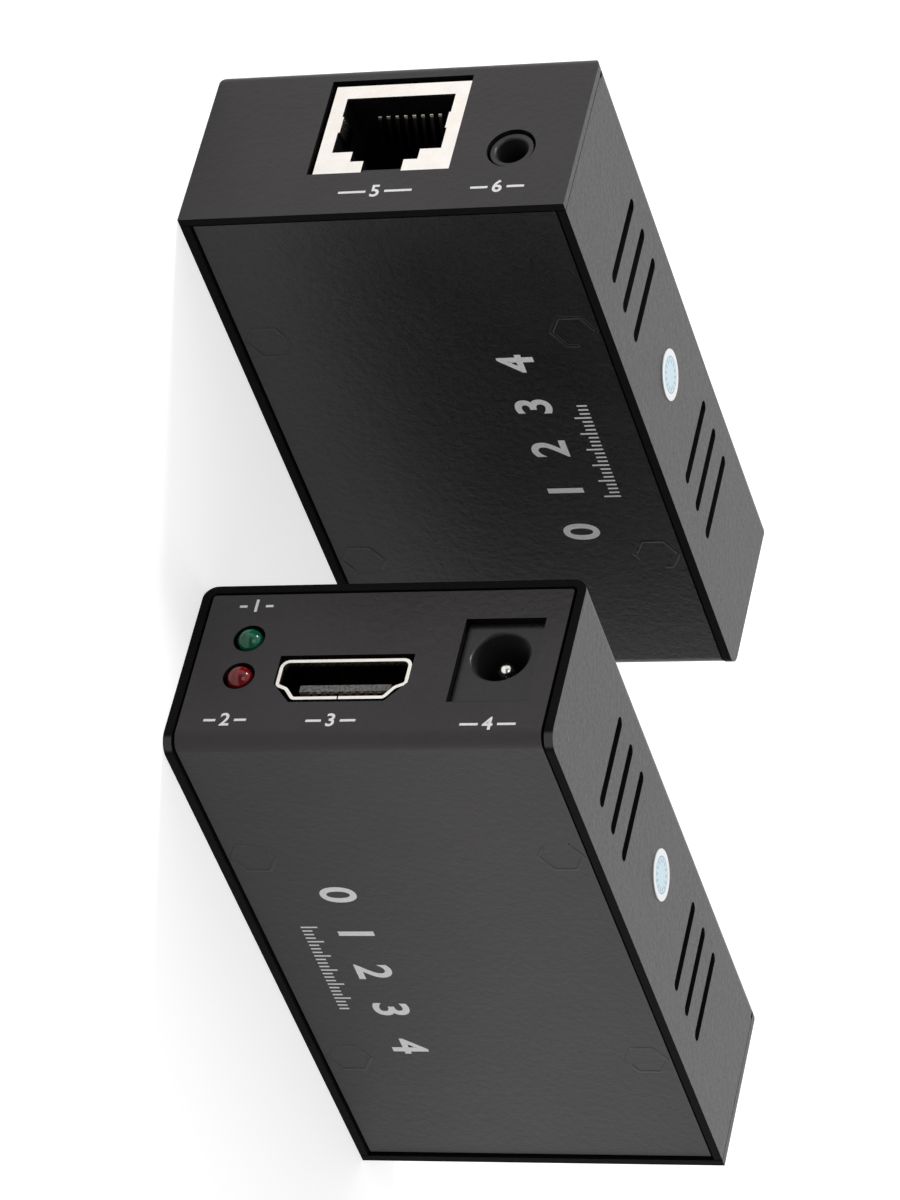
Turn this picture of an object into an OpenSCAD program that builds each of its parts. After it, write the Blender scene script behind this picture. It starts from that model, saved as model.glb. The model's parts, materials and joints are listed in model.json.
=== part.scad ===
/* [Pair] */
// Clear space between the two units, measured across their flat sides
pair_gap = 27; // [10:1:60]
// How far the receiver stands forward of the sender, along their length
pair_shift = 31; // [0:1:70]

/* [Case] */
// Length of a unit, from one port panel to the other
case_length = 80; // [78:1:96]
// Height of a unit, from the base plate's side to the top plate
case_height = 22.5; // [22:0.5:30]
// Width of a unit: it stands on one of its narrow sides, so this is upright
case_width = 45; // [44:0.5:56]
// Thickness of the folded sheet
sheet = 1; // [0.8:0.1:1.2]
// Outer radius of the long bends of the shell and of the base's bend
bend_r = 1.7; // [1.5:0.1:1.9]
// Outer radius of the bend between the top plate and the network port's panel
end_bend_r = 1.3; // [1.3:0.1:1.8]
// Seam left between the shell and the base
seam = 0.35; // [0.1:0.05:0.4]
// How deep the base plate lies between the edges of the side walls
base_recess = 0.3; // [0.1:0.1:0.5]
// Seam between the ends of the side walls and the panel folded over them
fold_seam = 0.12; // [0.08:0.02:0.2]

/* [Vents] */
// Slots in each group
slot_count = 3; // [1:1:4]
// Length of a slot
slot_length = 12.3; // [8:0.1:14]
// Width of a slot
slot_width = 1.5; // [1:0.1:2.4]
// Distance from one slot to the next
slot_pitch = 4.9; // [3.5:0.1:5.5]
// Distance between the middles of the two groups
slot_group_spacing = 34.2; // [26:0.1:40]

/* [Board and its fasteners] */
// Width across the flats of a standoff's head
standoff_flats = 4.6; // [4.2:0.1:5]
// Diameter of a standoff's barrel
standoff_barrel_d = 4.2; // [3.9:0.1:4.5]
// Space along the case between the power jack's terminal and the spacer behind it
spacer_room = 2.6; // [2:0.1:5]
// Distance from a standoff's axis to the side of the case
standoff_inset = 4.4; // [4.4:0.1:5]
// Thickness of the board
board_thickness = 1.6; // [1:0.1:2]
// Space left between the board's edge and the case
board_margin = 0.6; // [0.4:0.1:1.2]
// Width across the flats of a spacer between the board and the top plate
spacer_flats = 5; // [4.6:0.1:5]
// Nominal diameter of all the threads
thread_d = 3; // [2.5:0.1:3.2]
// Diameter of a case screw's countersunk head
screw_head_d = 5; // [4.6:0.1:5.4]
// Length of a case screw
screw_length = 6; // [4:0.5:8]

/* [Video port] */
// Width of the video port's metal mouth
hdmi_w = 15.4; // [14.8:0.1:15.8]
// Height of the video port's metal mouth
hdmi_h = 5.6; // [5.4:0.1:6]
// Length of the video port
hdmi_length = 11; // [10:0.5:13]
// Thickness of the video port's metal
hdmi_sheet = 0.4; // [0.3:0.05:0.5]
// Width of the tongue that carries the contacts
hdmi_tongue_w = 10.6; // [10.4:0.1:11]
// Thickness of that tongue
hdmi_tongue_t = 0.9; // [0.7:0.1:1.1]

/* [Power jack] */
// Width of the power jack
dc_w = 9; // [8.6:0.1:9.4]
// Height of the power jack
dc_h = 10.8; // [10.4:0.1:11.2]
// Length of the power jack
dc_length = 14; // [13:0.5:15]
// Diameter of the power jack's mouth
dc_bore_d = 6.4; // [6.2:0.1:6.8]
// Height of the power jack's axis above the board
dc_axis_h = 6.2; // [6:0.1:6.6]
// Diameter of the centre pin
dc_pin_d = 2; // [1.8:0.1:2.5]
// Space from the power jack's face to the tip of its pin
dc_pin_recess = 1.7; // [1.2:0.1:2.5]

/* [Network port] */
// Width of the network port's shield
rj_w = 16; // [15.6:0.1:16.4]
// Height of the network port's shield
rj_h = 13.4; // [13.2:0.1:13.6]
// Length of the network port
rj_length = 18; // [17:0.5:20]
// Thickness of the shield
rj_sheet = 0.3; // [0.2:0.05:0.4]
// Width of the window that the plug goes through
rj_window_w = 12.8; // [12.4:0.1:13]
// Height of that window, without its notch
rj_window_h = 8.3; // [8:0.1:8.4]
// Pitch of the eight contacts
rj_pitch = 1.02; // [1:0.01:1.04]

/* [Infrared jack] */
// Diameter of the jack's nose
ir_nose_d = 4.9; // [4.8:0.1:5.2]
// Diameter of the bore that takes the plug
ir_bore_d = 3.6; // [3.55:0.01:3.7]
// Diameter of the hole in the panel
ir_hole_d = 5.6; // [5.4:0.1:6]
// Height of the jack's axis above the board
ir_axis_h = 2.5; // [2.4:0.1:2.7]
// Width of the jack's body
ir_w = 6; // [5.8:0.1:6.4]
// Length of the jack's body behind its nose
ir_length = 11.5; // [11:0.5:13]

/* [Lamps] */
// Height of the lower lamp's axis above the board
led_low_h = 3.3; // [3.2:0.1:3.6]
// Distance between the two lamps
led_pitch = 5.3; // [5:0.1:5.6]
// Diameter of a lamp's lens
led_d = 3; // [2.8:0.1:3.1]
// Diameter of the holes in the panel
led_hole_d = 3.7; // [3.5:0.1:4]

/* [Label] */
// Diameter of the round label
label_d = 6; // [4:0.5:8]
// Thickness of the label
label_t = 0.12; // [0.1:0.01:0.2]

/* [Hidden] */
$fn = 48;

// One unit is built lying open: x runs from the video panel at 0 to the network panel,
// y from the base plate at 0 to the top plate, and z across the width.

// Shared clearances
overrun = 0.5;
press_gap = 0.02;
fit_gap = 0.05;
thread_gap = 0.05;
spring_gap = 0.12;
leaf_crest_share = 0.72;

// Levels and lines of the case. The height left over by the board and the network port
// is shared between the standoffs below them and the space above the port.
standoff_share = 34 / 52;
plate_in = base_recess + sheet;
top_in = case_height - sheet;
standoff_height = standoff_share * (top_in - plate_in - board_thickness - rj_h);
board_low = plate_in + standoff_height;
board_top = board_low + board_thickness;
wall_in = sheet + seam;
panel_top = top_in - seam;
wall_end = case_length - sheet - fold_seam;
mid_x = case_length / 2;
mid_z = case_width / 2;
board_edge = sheet + board_margin;

// The video panel holds the lamps, the video port and the power jack side by side. The width
// left over by them is shared between the gaps beside and between them.
led_holder_w = 4.8;
panel_gap_shares = [36 / 138, 21 / 138, 52 / 138, 29 / 138];
panel_slack = case_width - 2 * sheet - led_holder_w - hdmi_w - dc_w;

// Corner reliefs of the shell
relief_w = 0.45;
relief_h = 0.6;
corner_r = bend_r + base_recess;
base_corner_r = max(bend_r - sheet - seam, seam / 2);

// Standoffs, spacers and screws
thread_r = thread_d / 2;
stud_r = thread_r - thread_gap;
board_hole_r = thread_r + 2 * thread_gap;
bore_floor = 0.6;
stud_length = board_thickness + standoff_height - bore_floor;
spacer_bore_depth = screw_length;
screw_head_share = 0.9;
screw_head_h = screw_head_share * sheet;
cross_w = 0.6;
cross_length = 2.4;
cross_depth = 0.5;
flats_to_corners = 1 / cos(30);

// Video port
hdmi_z = sheet + (panel_gap_shares[0] + panel_gap_shares[1]) * panel_slack
    + led_holder_w + hdmi_w / 2;
hdmi_setback = 0.2;
hdmi_corner_r = 1.1;
hdmi_shoulder_h = 1.95;
hdmi_shoulder_r = 0.7;
hdmi_elbow_h = 1.4;
hdmi_elbow_inset = 1.25;
hdmi_elbow_r = 0.7;
hdmi_foot_inset = 2.3;
hdmi_foot_r = 0.7;
hdmi_seam = 0.16;
hdmi_cut_gap_side = 0.15;
hdmi_cut_gap_low = 0.5;
hdmi_cut_gap_high = 0.45;
hdmi_cut_gap_shoulder = 0.2;
hdmi_slot_w = 1.8;
hdmi_slot_length = 4.6;
hdmi_slot_line = 0.35;
hdmi_slot_spacing = 6;
hdmi_mouth_depth = 6;
hdmi_tongue_recess = 1.3;
hdmi_tongue_h = 2.1;
hdmi_contact_pitch = 1;
hdmi_contact_w = 0.4;
hdmi_contact_t = 0.12;
hdmi_contact_inset = 0.15;
hdmi_upper_contacts = 10;
hdmi_lower_contacts = 9;
hdmi_tail_w = 0.3;
hdmi_tail_t = 0.2;
hdmi_tail_length = 1.2;

// Power jack
dc_z = case_width - sheet - panel_gap_shares[3] * panel_slack - dc_w / 2;
dc_y = board_top + dc_axis_h;
dc_setback = 0.9;
dc_cut_gap_side = 0.12;
dc_cut_gap_high = 0.05;
dc_cut_low = 0.75;
dc_bore_r = dc_bore_d / 2;
dc_bore_depth = 10;
dc_chamfer = 0.3;
dc_pin_r = dc_pin_d / 2;
dc_shank_step = 0.3;
dc_terminal_t = 0.4;
dc_terminal_w = 3;
dc_rivet_r = 1.7;
dc_channel_w = 2.4;
dc_channel_length = 9;
dc_channel_depth = 1.7;
dc_spring_w = 2;
dc_spring_t = 0.3;
dc_spring_length = 7;
dc_spring_lift = 0.45;
dc_spring_root_r = 0.35;
dc_back_step_h = 2;
dc_back_step_length = 3;

// Network port
rj_setback = 0.2;
rj_cut_gap_narrow = 0.05;
rj_cut_gap_wide = 0.6;
rj_cut_gap_low = 0.2;
rj_cut_gap_high = 0.7;
rj_sill_h = 3.2;
rj_step_w = 7.9;
rj_step_h = 1.5;
rj_notch_w = 4.7;
rj_cavity_depth = 12.5;
rj_notch_depth = 10;
rj_floor = 0.6;
rj_finger_t = 0.2;
rj_finger_w = 2.4;
rj_finger_h = 3.1;
rj_finger_reach = 0.6;
rj_finger_length = 2.6;
rj_contacts = 8;
rj_wire_w = 0.4;
rj_wire_t = 0.34;
rj_wire_root_depth = 3.4;
rj_wire_root_lift = 0.3;
rj_wire_run = 5.8;
rj_wire_drop = 3.5;
rj_comb_w = 0.64;
rj_comb_h = 0.85;
rj_comb_start = 2.8;
rj_pin_w = 0.45;
rj_pin_row_1 = 14.2;
rj_pin_row_2 = 16.4;
rj_pin_h = 1.6;
rj_pin_room = 0.6;

// Infrared jack, midway between the side wall and the network port
ir_z = (sheet + mid_z - rj_w / 2) / 2;
ir_y = board_top + ir_axis_h;
ir_setback = 0.35;
ir_nose_length = 1.3;
ir_body_h = 2 * ir_axis_h;
ir_bush_depth = 4;
ir_bore_depth = 11;
ir_bore_step = 0.4;
ir_chamfer = 0.2;
ir_channel_w = 1.5;
ir_channel_start = 3;
ir_channel_length = 7.2;
ir_channel_side = 0.6;
ir_spring_w = 1.1;
ir_spring_t = 0.2;
ir_spring_length = 5.4;
ir_spring_lift = 0.35;
ir_spring_root_r = 0.25;

// Lamps
led_z = sheet + panel_gap_shares[0] * panel_slack + led_holder_w / 2;
led_y_low = board_top + led_low_h;
led_y_high = led_y_low + led_pitch;
led_r = led_d / 2;
led_reach = 0.8;
led_barrel = 3;
led_flange_r = 1.8;
led_flange_t = 0.9;
led_holder_front = 2.2;
led_holder_length = 6.5;
led_holder_roof = 2.5;

// Parts on the board
link_chip_side = 14;
link_chip_t = 1.4;
link_chip_pins = 12;
link_chip_pitch = 1;
chip_stand = 0.15;
pin_w = 0.3;
pin_t = 0.2;
pin_reach = 1;
pin_rise = 0.6;
chip_dot_r = 0.6;
chip_dot_depth = 0.1;
chip_dot_inset = 1.8;
hdmi_chip_side = 8;
hdmi_chip_t = 0.9;
magnetics_w = 15;
magnetics_l = 6.6;
magnetics_h = 4;
magnetics_pins = 8;
magnetics_pitch = 1.7;
inductor_side = 6;
inductor_h = 3;
inductor_core_r = 2.7;
inductor_plate = 0.6;
inductor_winding_r = 2.2;
regulator_l = 4.9;
regulator_w = 3.9;
regulator_h = 1.5;
regulator_pins = 4;
regulator_pitch = 1.27;
capacitor_r = 2.5;
capacitor_h = 5.4;
capacitor_foot = 5.3;
capacitor_foot_h = 0.8;
capacitor_groove_r = 2.3;
capacitor_groove_h = 1.6;
capacitor_groove_w = 0.5;
crystal_l = 11;
crystal_w = 4.4;
crystal_h = 3.5;
crystal_foot = 0.5;
crystal_rim = 0.3;
chip_part_l = 1.6;
chip_part_w = 0.8;
chip_part_h = 0.6;
chip_part_pitch = 1.7;
chip_parts_per_row = 4;
chip_part_end = 0.3;
chip_part_end_t = 0.05;

// First spacers, behind the power jack
standoff_x = dc_setback + dc_length + 2 * dc_terminal_t + spacer_room + spacer_flats / 2;

// Places along the case. Between the two ports lie the video chip, the large chip and the
// transformers, and between two spacers the regulator and the capacitors. Each place is the
// sum of what comes before it and a share of the length left over.
ports_low = hdmi_setback + hdmi_length - hdmi_sheet + hdmi_tail_length;
ports_high = case_length - rj_setback - rj_length;
link_chip_reach = link_chip_side + 2 * pin_reach;
magnetics_reach = magnetics_l + 2 * pin_reach;
ports_slack = ports_high - ports_low - hdmi_chip_side - link_chip_reach - magnetics_reach;
ports_slack_shares = [0.33, 0.7, 0.85];
hdmi_chip_x = ports_low + ports_slack_shares[0] * ports_slack + hdmi_chip_side / 2;
link_chip_x = ports_low + ports_slack_shares[1] * ports_slack + hdmi_chip_side
    + link_chip_reach / 2;
magnetics_x = ports_high - (1 - ports_slack_shares[2]) * ports_slack - magnetics_reach / 2;
inductor_slack_share = 0.22;
inductor_x = dc_setback + dc_length + 2 * dc_terminal_t + inductor_slack_share * ports_slack
    + inductor_side / 2;
spacers_low = standoff_x + spacer_flats / 2;
spacers_slack = case_length - 2 * spacers_low - regulator_l - 2 * capacitor_foot;
spacers_slack_shares = [0.28, 0.33, 0.48];
regulator_x = spacers_low + spacers_slack_shares[0] * spacers_slack + regulator_l / 2;
capacitor_x = [
    spacers_low + spacers_slack_shares[1] * spacers_slack + regulator_l + capacitor_foot / 2,
    spacers_low + spacers_slack_shares[2] * spacers_slack + regulator_l + capacitor_foot * 3 / 2
];
crystal_length_share = 0.48;
crystal_x = crystal_length_share * case_length;
chip_part_length_shares = [0.36, 0.62, 0.42, 0.62];

// Places across the case: the crystal, a row of small parts, the large chip, another row and
// the regulator, again with shares of the width left over
crystal_reach = crystal_w + 2 * crystal_rim;
regulator_reach = regulator_w + 2 * pin_reach;
across_slack = case_width - 2 * board_edge - crystal_reach - 2 * chip_part_l
    - link_chip_reach - regulator_reach;
across_slack_shares = [0.26, 0.34, 0.42, 0.56, 0.7];
crystal_z = board_edge + across_slack_shares[0] * across_slack + crystal_reach / 2;
chip_row_low_z = board_edge + across_slack_shares[1] * across_slack + crystal_reach
    + chip_part_l / 2;
link_chip_z = board_edge + across_slack_shares[2] * across_slack + crystal_reach
    + chip_part_l + link_chip_reach / 2;
chip_row_high_z = board_edge + across_slack_shares[3] * across_slack + crystal_reach
    + chip_part_l * 3 / 2 + link_chip_reach;
regulator_z = case_width - board_edge - (1 - across_slack_shares[4]) * across_slack
    - regulator_reach / 2;
inductor_z = (hdmi_z + hdmi_chip_side / 2 + case_width - standoff_inset
    - spacer_flats * flats_to_corners / 2) / 2;

// Label: height of its middle above the base plate's side, on each unit
sender_label_share = 0.545;
receiver_label_share = 0.48;
sender_label_y = case_height * sender_label_share;
receiver_label_y = case_height * receiver_label_share;

// Box between two opposite corners
module block(low, high) {
    translate(low) cube(high - low);
}

// Outline in (y, z), extruded along x
module along_x(length) {
    rotate([90, 0, 90]) linear_extrude(length) children();
}

// Rod along x, from its first point
module rod_x(r, length, r2) {
    rotate([0, 90, 0]) cylinder(r1 = r, r2 = is_undef(r2) ? r : r2, h = length);
}

// Rod along y, from its first point
module rod_y(r, length, r2) {
    rotate([-90, 0, 0]) cylinder(r1 = r, r2 = is_undef(r2) ? r : r2, h = length);
}

// Six-sided bar along y, with two corners across the width, or turned to lie along the case
module hex_y(flats, length, turn = 90) {
    rotate([-90, turn, 0]) cylinder(r = flats * flats_to_corners / 2, h = length, $fn = 6);
}

// Quarter of a ring in the first quadrant
module quarter_ring(r, t) {
    intersection() {
        difference() {
            circle(r);
            circle(r - t);
        }
        square(r);
    }
}

// What is left of a square corner when it is rounded, in the first quadrant
module corner_waste(r) {
    difference() {
        translate([-overrun, -overrun]) square(r + overrun);
        translate([r, r]) circle(r);
    }
}

// The network end, with depth measured from the outside of its panel
module at_network_end() {
    translate([case_length, 0, 0]) mirror([1, 0, 0]) children();
}

// The four standoff axes, at a height above the base plate's side
module at_standoffs(y) {
    for (side = [-1, 1])
        for (z = [standoff_inset, case_width - standoff_inset])
            translate([mid_x + side * (mid_x - standoff_x), y, z]) children();
}

// A place on the board
function on_board(x, z) = [x, board_top, z];

// Points of a rounded corner at p between its neighbours a and b
function unit_to(p, q) = (q - p) / norm(q - p);
function corner_arc(a, p, b, r, steps = 6) =
    let (
        u = unit_to(p, a),
        v = unit_to(p, b),
        half = acos(u * v) / 2,
        mid = (u + v) / norm(u + v),
        centre = p + mid * r / sin(half),
        from = p + u * r / tan(half) - centre,
        turn = cross([u[0], u[1]], [v[0], v[1]]) > 0 ? -1 : 1,
        sweep = 180 - 2 * half
    )
    [for (i = [0 : steps])
        let (angle = turn * sweep * i / steps)
        centre + [
            from[0] * cos(angle) - from[1] * sin(angle),
            from[0] * sin(angle) + from[1] * cos(angle)
        ]
    ];

// Corner p of a clockwise outline, between its neighbours a and b, moved outward by g
function grown_corner(a, p, b, g) =
    let (
        before = unit_to(a, p),
        after = unit_to(p, b),
        normal_before = [-before[1], before[0]],
        normal_after = [-after[1], after[0]]
    )
    p + g * (normal_before + normal_after) / (1 + normal_before * normal_after);

// Clockwise outline moved outward by g
function grown_outline(points, g) =
    let (last = len(points) - 1)
    [for (i = [0 : last])
        grown_corner(
            points[i == 0 ? last : i - 1],
            points[i],
            points[i == last ? 0 : i + 1],
            g
        )
    ];

// Outline with its corners rounded
module rounded_outline(points, radii) {
    last = len(points) - 1;
    polygon([
        for (i = [0 : last])
            each corner_arc(
                points[i == 0 ? last : i - 1],
                points[i],
                points[i == last ? 0 : i + 1],
                radii[i]
            )
    ]);
}

// Slots of the vents, through both side walls
module vent_slots() {
    half = (slot_length - slot_width) / 2;
    for (group = [-1, 1])
        for (i = [0 : slot_count - 1])
            translate([
                mid_x + group * slot_group_spacing / 2 + (i - (slot_count - 1) / 2) * slot_pitch,
                case_height / 2,
                -overrun
            ])
                linear_extrude(case_width + 2 * overrun) {
                    square([slot_width, 2 * half], center = true);
                    for (end = [-1, 1])
                        translate([0, end * half]) circle(slot_width / 2);
                }
}

// Folded shell: top plate, two side walls and the panel of the network port
module shell() {
    color([0.16, 0.16, 0.17])
        difference() {
            union() {
                block([0, top_in, bend_r], [case_length - end_bend_r, case_height, case_width - bend_r]);
                for (side = [0, 1])
                    translate([0, 0, side * case_width])
                        mirror([0, 0, side]) {
                            block([0, 0, 0], [wall_end, case_height - bend_r, sheet]);
                            along_x(case_length - end_bend_r)
                                translate([case_height - bend_r, bend_r])
                                    mirror([0, 1]) quarter_ring(bend_r, sheet);
                        }
                end_panel();
            }
            vent_slots();
            for (side = [0, 1])
                translate([0, 0, side * case_width])
                    mirror([0, 0, side]) {
                        translate([0, 0, -overrun])
                            linear_extrude(sheet + 2 * overrun) corner_waste(corner_r);
                        block(
                            [case_length - sheet - relief_w, case_height - bend_r - relief_h, -overrun],
                            [case_length - sheet, case_height + overrun, sheet]
                        );
                    }
            at_standoffs(top_in - overrun) rod_y(thread_r + thread_gap, sheet + 2 * overrun);
            at_standoffs(case_height - screw_head_h) {
                rod_y(thread_r + thread_gap, screw_head_h, screw_head_d / 2 + thread_gap);
                translate([0, screw_head_h, 0]) rod_y(screw_head_d / 2 + thread_gap, overrun);
            }
            at_network_end() {
                block(
                    [-overrun, board_top - rj_cut_gap_low, mid_z - rj_w / 2 - rj_cut_gap_narrow],
                    [sheet + overrun, board_top + rj_h + rj_cut_gap_high,
                        mid_z + rj_w / 2 + rj_cut_gap_wide]
                );
                translate([-overrun, ir_y, ir_z]) rod_x(ir_hole_d / 2, sheet + 2 * overrun);
            }
        }
}

// Panel of the network port, folded down from the top plate over the side walls
module end_panel() {
    at_network_end() {
        intersection() {
            union() {
                block([0, 0, 0], [sheet, case_height - end_bend_r, case_width]);
                linear_extrude(case_width)
                    translate([end_bend_r, case_height - end_bend_r])
                        mirror([1, 0]) quarter_ring(end_bend_r, sheet);
            }
            along_x(end_bend_r) {
                translate([-overrun, 0]) square([case_height - bend_r + overrun, case_width]);
                translate([0, bend_r]) square([case_height, case_width - 2 * bend_r]);
                for (z = [bend_r, case_width - bend_r])
                    translate([case_height - bend_r, z]) circle(bend_r);
            }
        }
    }
}

// Outline of the video port's mouth, wide side up, grown outward by g and standing on 0:
// each side runs down to a shoulder, in to a hollow elbow and down to the foot
module hdmi_outline(g) {
    half = [
        [hdmi_h, hdmi_w / 2],
        [hdmi_shoulder_h, hdmi_w / 2],
        [hdmi_elbow_h, hdmi_w / 2 - hdmi_elbow_inset],
        [0, hdmi_w / 2 - hdmi_foot_inset]
    ];
    half_radii = [hdmi_corner_r + g, hdmi_shoulder_r + g, hdmi_elbow_r - g, hdmi_foot_r + g];
    last = len(half) - 1;
    points = [for (p = half) [p[0], -p[1]], for (i = [last : -1 : 0]) half[i]];
    radii = [each half_radii, for (i = [last : -1 : 0]) half_radii[i]];
    rounded_outline(grown_outline(points, g), radii);
}

// Cut-out of the panel round the video port
module hdmi_cut() {
    side = hdmi_w / 2 + hdmi_cut_gap_side;
    foot = hdmi_w / 2 - hdmi_foot_inset + hdmi_cut_gap_side;
    sill = hdmi_shoulder_h + hdmi_cut_gap_shoulder;
    polygon([
        [hdmi_h + hdmi_cut_gap_high, -side], [sill, -side], [-hdmi_cut_gap_low, -foot],
        [-hdmi_cut_gap_low, foot], [sill, side], [hdmi_h + hdmi_cut_gap_high, side]
    ]);
}

// Base: the plate under the board and the panel of the video port, folded from one sheet
module base() {
    color([0.2, 0.19, 0.2])
        difference() {
            translate([0, 0, wall_in])
                linear_extrude(case_width - 2 * wall_in) {
                    translate([bend_r, base_recess])
                        square([wall_end - seam - bend_r, sheet]);
                    translate([0, base_recess + bend_r])
                        square([sheet, panel_top - base_recess - bend_r]);
                    translate([bend_r, base_recess + bend_r])
                        rotate(180) quarter_ring(bend_r, sheet);
                }
            for (side = [0, 1])
                translate([-overrun, panel_top, side ? case_width - wall_in : wall_in])
                    mirror([0, 0, side])
                        mirror([0, 1, 0])
                            along_x(sheet + 2 * overrun) corner_waste(base_corner_r);
            at_standoffs(base_recess - overrun)
                hex_y(standoff_flats + 2 * press_gap, sheet + 2 * overrun);
            translate([-overrun, board_top, hdmi_z]) along_x(sheet + 2 * overrun) hdmi_cut();
            block(
                [-overrun, board_top - dc_cut_low, dc_z - dc_w / 2 - dc_cut_gap_side],
                [sheet + overrun, board_top + dc_h + dc_cut_gap_high,
                    dc_z + dc_w / 2 + dc_cut_gap_side]
            );
            for (y = [led_y_low, led_y_high])
                translate([-overrun, y, led_z]) rod_x(led_hole_d / 2, sheet + 2 * overrun);
        }
}

// Standoffs clinched into the base plate, their heads flush with its outside
module standoffs() {
    color([0.3, 0.3, 0.31])
        difference() {
            union() {
                at_standoffs(base_recess) hex_y(standoff_flats, sheet);
                at_standoffs(plate_in) rod_y(standoff_barrel_d / 2, standoff_height);
            }
            at_standoffs(plate_in + bore_floor) rod_y(thread_r, standoff_height);
        }
}

// Circuit board on the standoffs
module board() {
    color([0.06, 0.32, 0.16])
        difference() {
            block(
                [board_edge, board_low, board_edge],
                [case_length - board_edge, board_top, case_width - board_edge]
            );
            at_standoffs(board_low - overrun) rod_y(board_hole_r, board_thickness + 2 * overrun);
        }
}

// Spacers from the board to the top plate, screwed into the standoffs through the board
module spacers() {
    height = top_in - board_top;
    color([0.78, 0.66, 0.36])
        difference() {
            union() {
                at_standoffs(board_top) hex_y(spacer_flats, height, 0);
                at_standoffs(board_top - stud_length + thread_gap)
                    rod_y(stud_r, stud_length);
            }
            at_standoffs(top_in - spacer_bore_depth)
                rod_y(thread_r, spacer_bore_depth + overrun);
        }
}

// Countersunk screws that hold the top plate
module case_screws() {
    color([0.12, 0.12, 0.13])
        difference() {
            union() {
                at_standoffs(case_height - screw_head_h)
                    rod_y(stud_r, screw_head_h, screw_head_d / 2);
                at_standoffs(case_height - screw_length)
                    rod_y(stud_r, screw_length - screw_head_h + thread_gap);
            }
            at_standoffs(case_height - cross_depth)
                for (turn = [0, 90])
                    rotate([0, turn, 0])
                        translate([-cross_length / 2, 0, -cross_w / 2])
                            cube([cross_length, cross_depth + overrun, cross_w]);
        }
}

// Metal mouth of the video port, with its lower seam, spring cuts, back wall and feet
module hdmi_shell() {
    color([0.8, 0.78, 0.74])
        translate([hdmi_setback, board_top, hdmi_z])
            difference() {
                union() {
                    difference() {
                        along_x(hdmi_length) hdmi_outline(0);
                        translate([-overrun, 0, 0])
                            along_x(hdmi_length - hdmi_sheet + overrun) hdmi_outline(-hdmi_sheet);
                    }
                }
                translate([-overrun, -overrun, -hdmi_seam / 2])
                    cube([hdmi_mouth_depth + overrun, hdmi_sheet + 2 * overrun, hdmi_seam]);
                for (side = [-1, 1])
                    translate([hdmi_slot_w, hdmi_h - hdmi_sheet - overrun, side * hdmi_slot_spacing / 2])
                        for (edge = [-1, 1])
                            translate([0, 0, edge * hdmi_slot_w / 2 - hdmi_slot_line / 2])
                                cube([hdmi_slot_length, hdmi_sheet + 2 * overrun, hdmi_slot_line]);
                translate([
                    hdmi_length - hdmi_sheet - hdmi_tail_length - fit_gap,
                    -overrun,
                    -hdmi_tongue_w / 2
                ])
                    cube([
                        hdmi_tail_length + hdmi_sheet + fit_gap + overrun,
                        overrun + hdmi_sheet + hdmi_tail_t + fit_gap,
                        hdmi_tongue_w
                    ]);
            }
}

// Plastic block and tongue inside the video port
module hdmi_insulator() {
    block_front = hdmi_setback + hdmi_mouth_depth;
    block_back = hdmi_setback + hdmi_length - hdmi_sheet;
    color([0.1, 0.1, 0.1])
        difference() {
            union() {
                translate([block_front, board_top, hdmi_z])
                    along_x(block_back - block_front - fit_gap)
                        hdmi_outline(-hdmi_sheet - fit_gap);
                block(
                    [hdmi_setback + hdmi_tongue_recess, board_top + hdmi_tongue_h,
                        hdmi_z - hdmi_tongue_w / 2],
                    [block_front + fit_gap, board_top + hdmi_tongue_h + hdmi_tongue_t,
                        hdmi_z + hdmi_tongue_w / 2]
                );
            }
            block(
                [block_back - hdmi_tail_length - fit_gap, board_top,
                    hdmi_z - hdmi_tongue_w / 2],
                [block_back + overrun, board_top + hdmi_sheet + hdmi_tail_t + fit_gap,
                    hdmi_z + hdmi_tongue_w / 2]
            );
        }
}

// One row of contacts on a face of the tongue
module hdmi_contact_row(count, low) {
    for (i = [0 : count - 1])
        translate([
            hdmi_setback + hdmi_tongue_recess + hdmi_contact_inset,
            low,
            hdmi_z + (i - (count - 1) / 2) * hdmi_contact_pitch - hdmi_contact_w / 2
        ])
            cube([
                hdmi_mouth_depth - hdmi_tongue_recess - hdmi_contact_inset,
                hdmi_contact_t, hdmi_contact_w
            ]);
}

// Contacts of the video port, on both faces of the tongue, and their tails on the board
module hdmi_contacts() {
    tails = hdmi_upper_contacts + hdmi_lower_contacts;
    tail_pitch = hdmi_contact_pitch / 2;
    back = hdmi_setback + hdmi_length - hdmi_sheet;
    color([0.85, 0.68, 0.3]) {
        hdmi_contact_row(hdmi_upper_contacts, board_top + hdmi_tongue_h + hdmi_tongue_t);
        hdmi_contact_row(hdmi_lower_contacts, board_top + hdmi_tongue_h - hdmi_contact_t);
        for (i = [0 : tails - 1])
            translate([
                back - hdmi_tail_length, board_top,
                hdmi_z + (i - (tails - 1) / 2) * tail_pitch - hdmi_tail_w / 2
            ])
                cube([2 * hdmi_tail_length, hdmi_tail_t, hdmi_tail_w]);
    }
}

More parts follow.
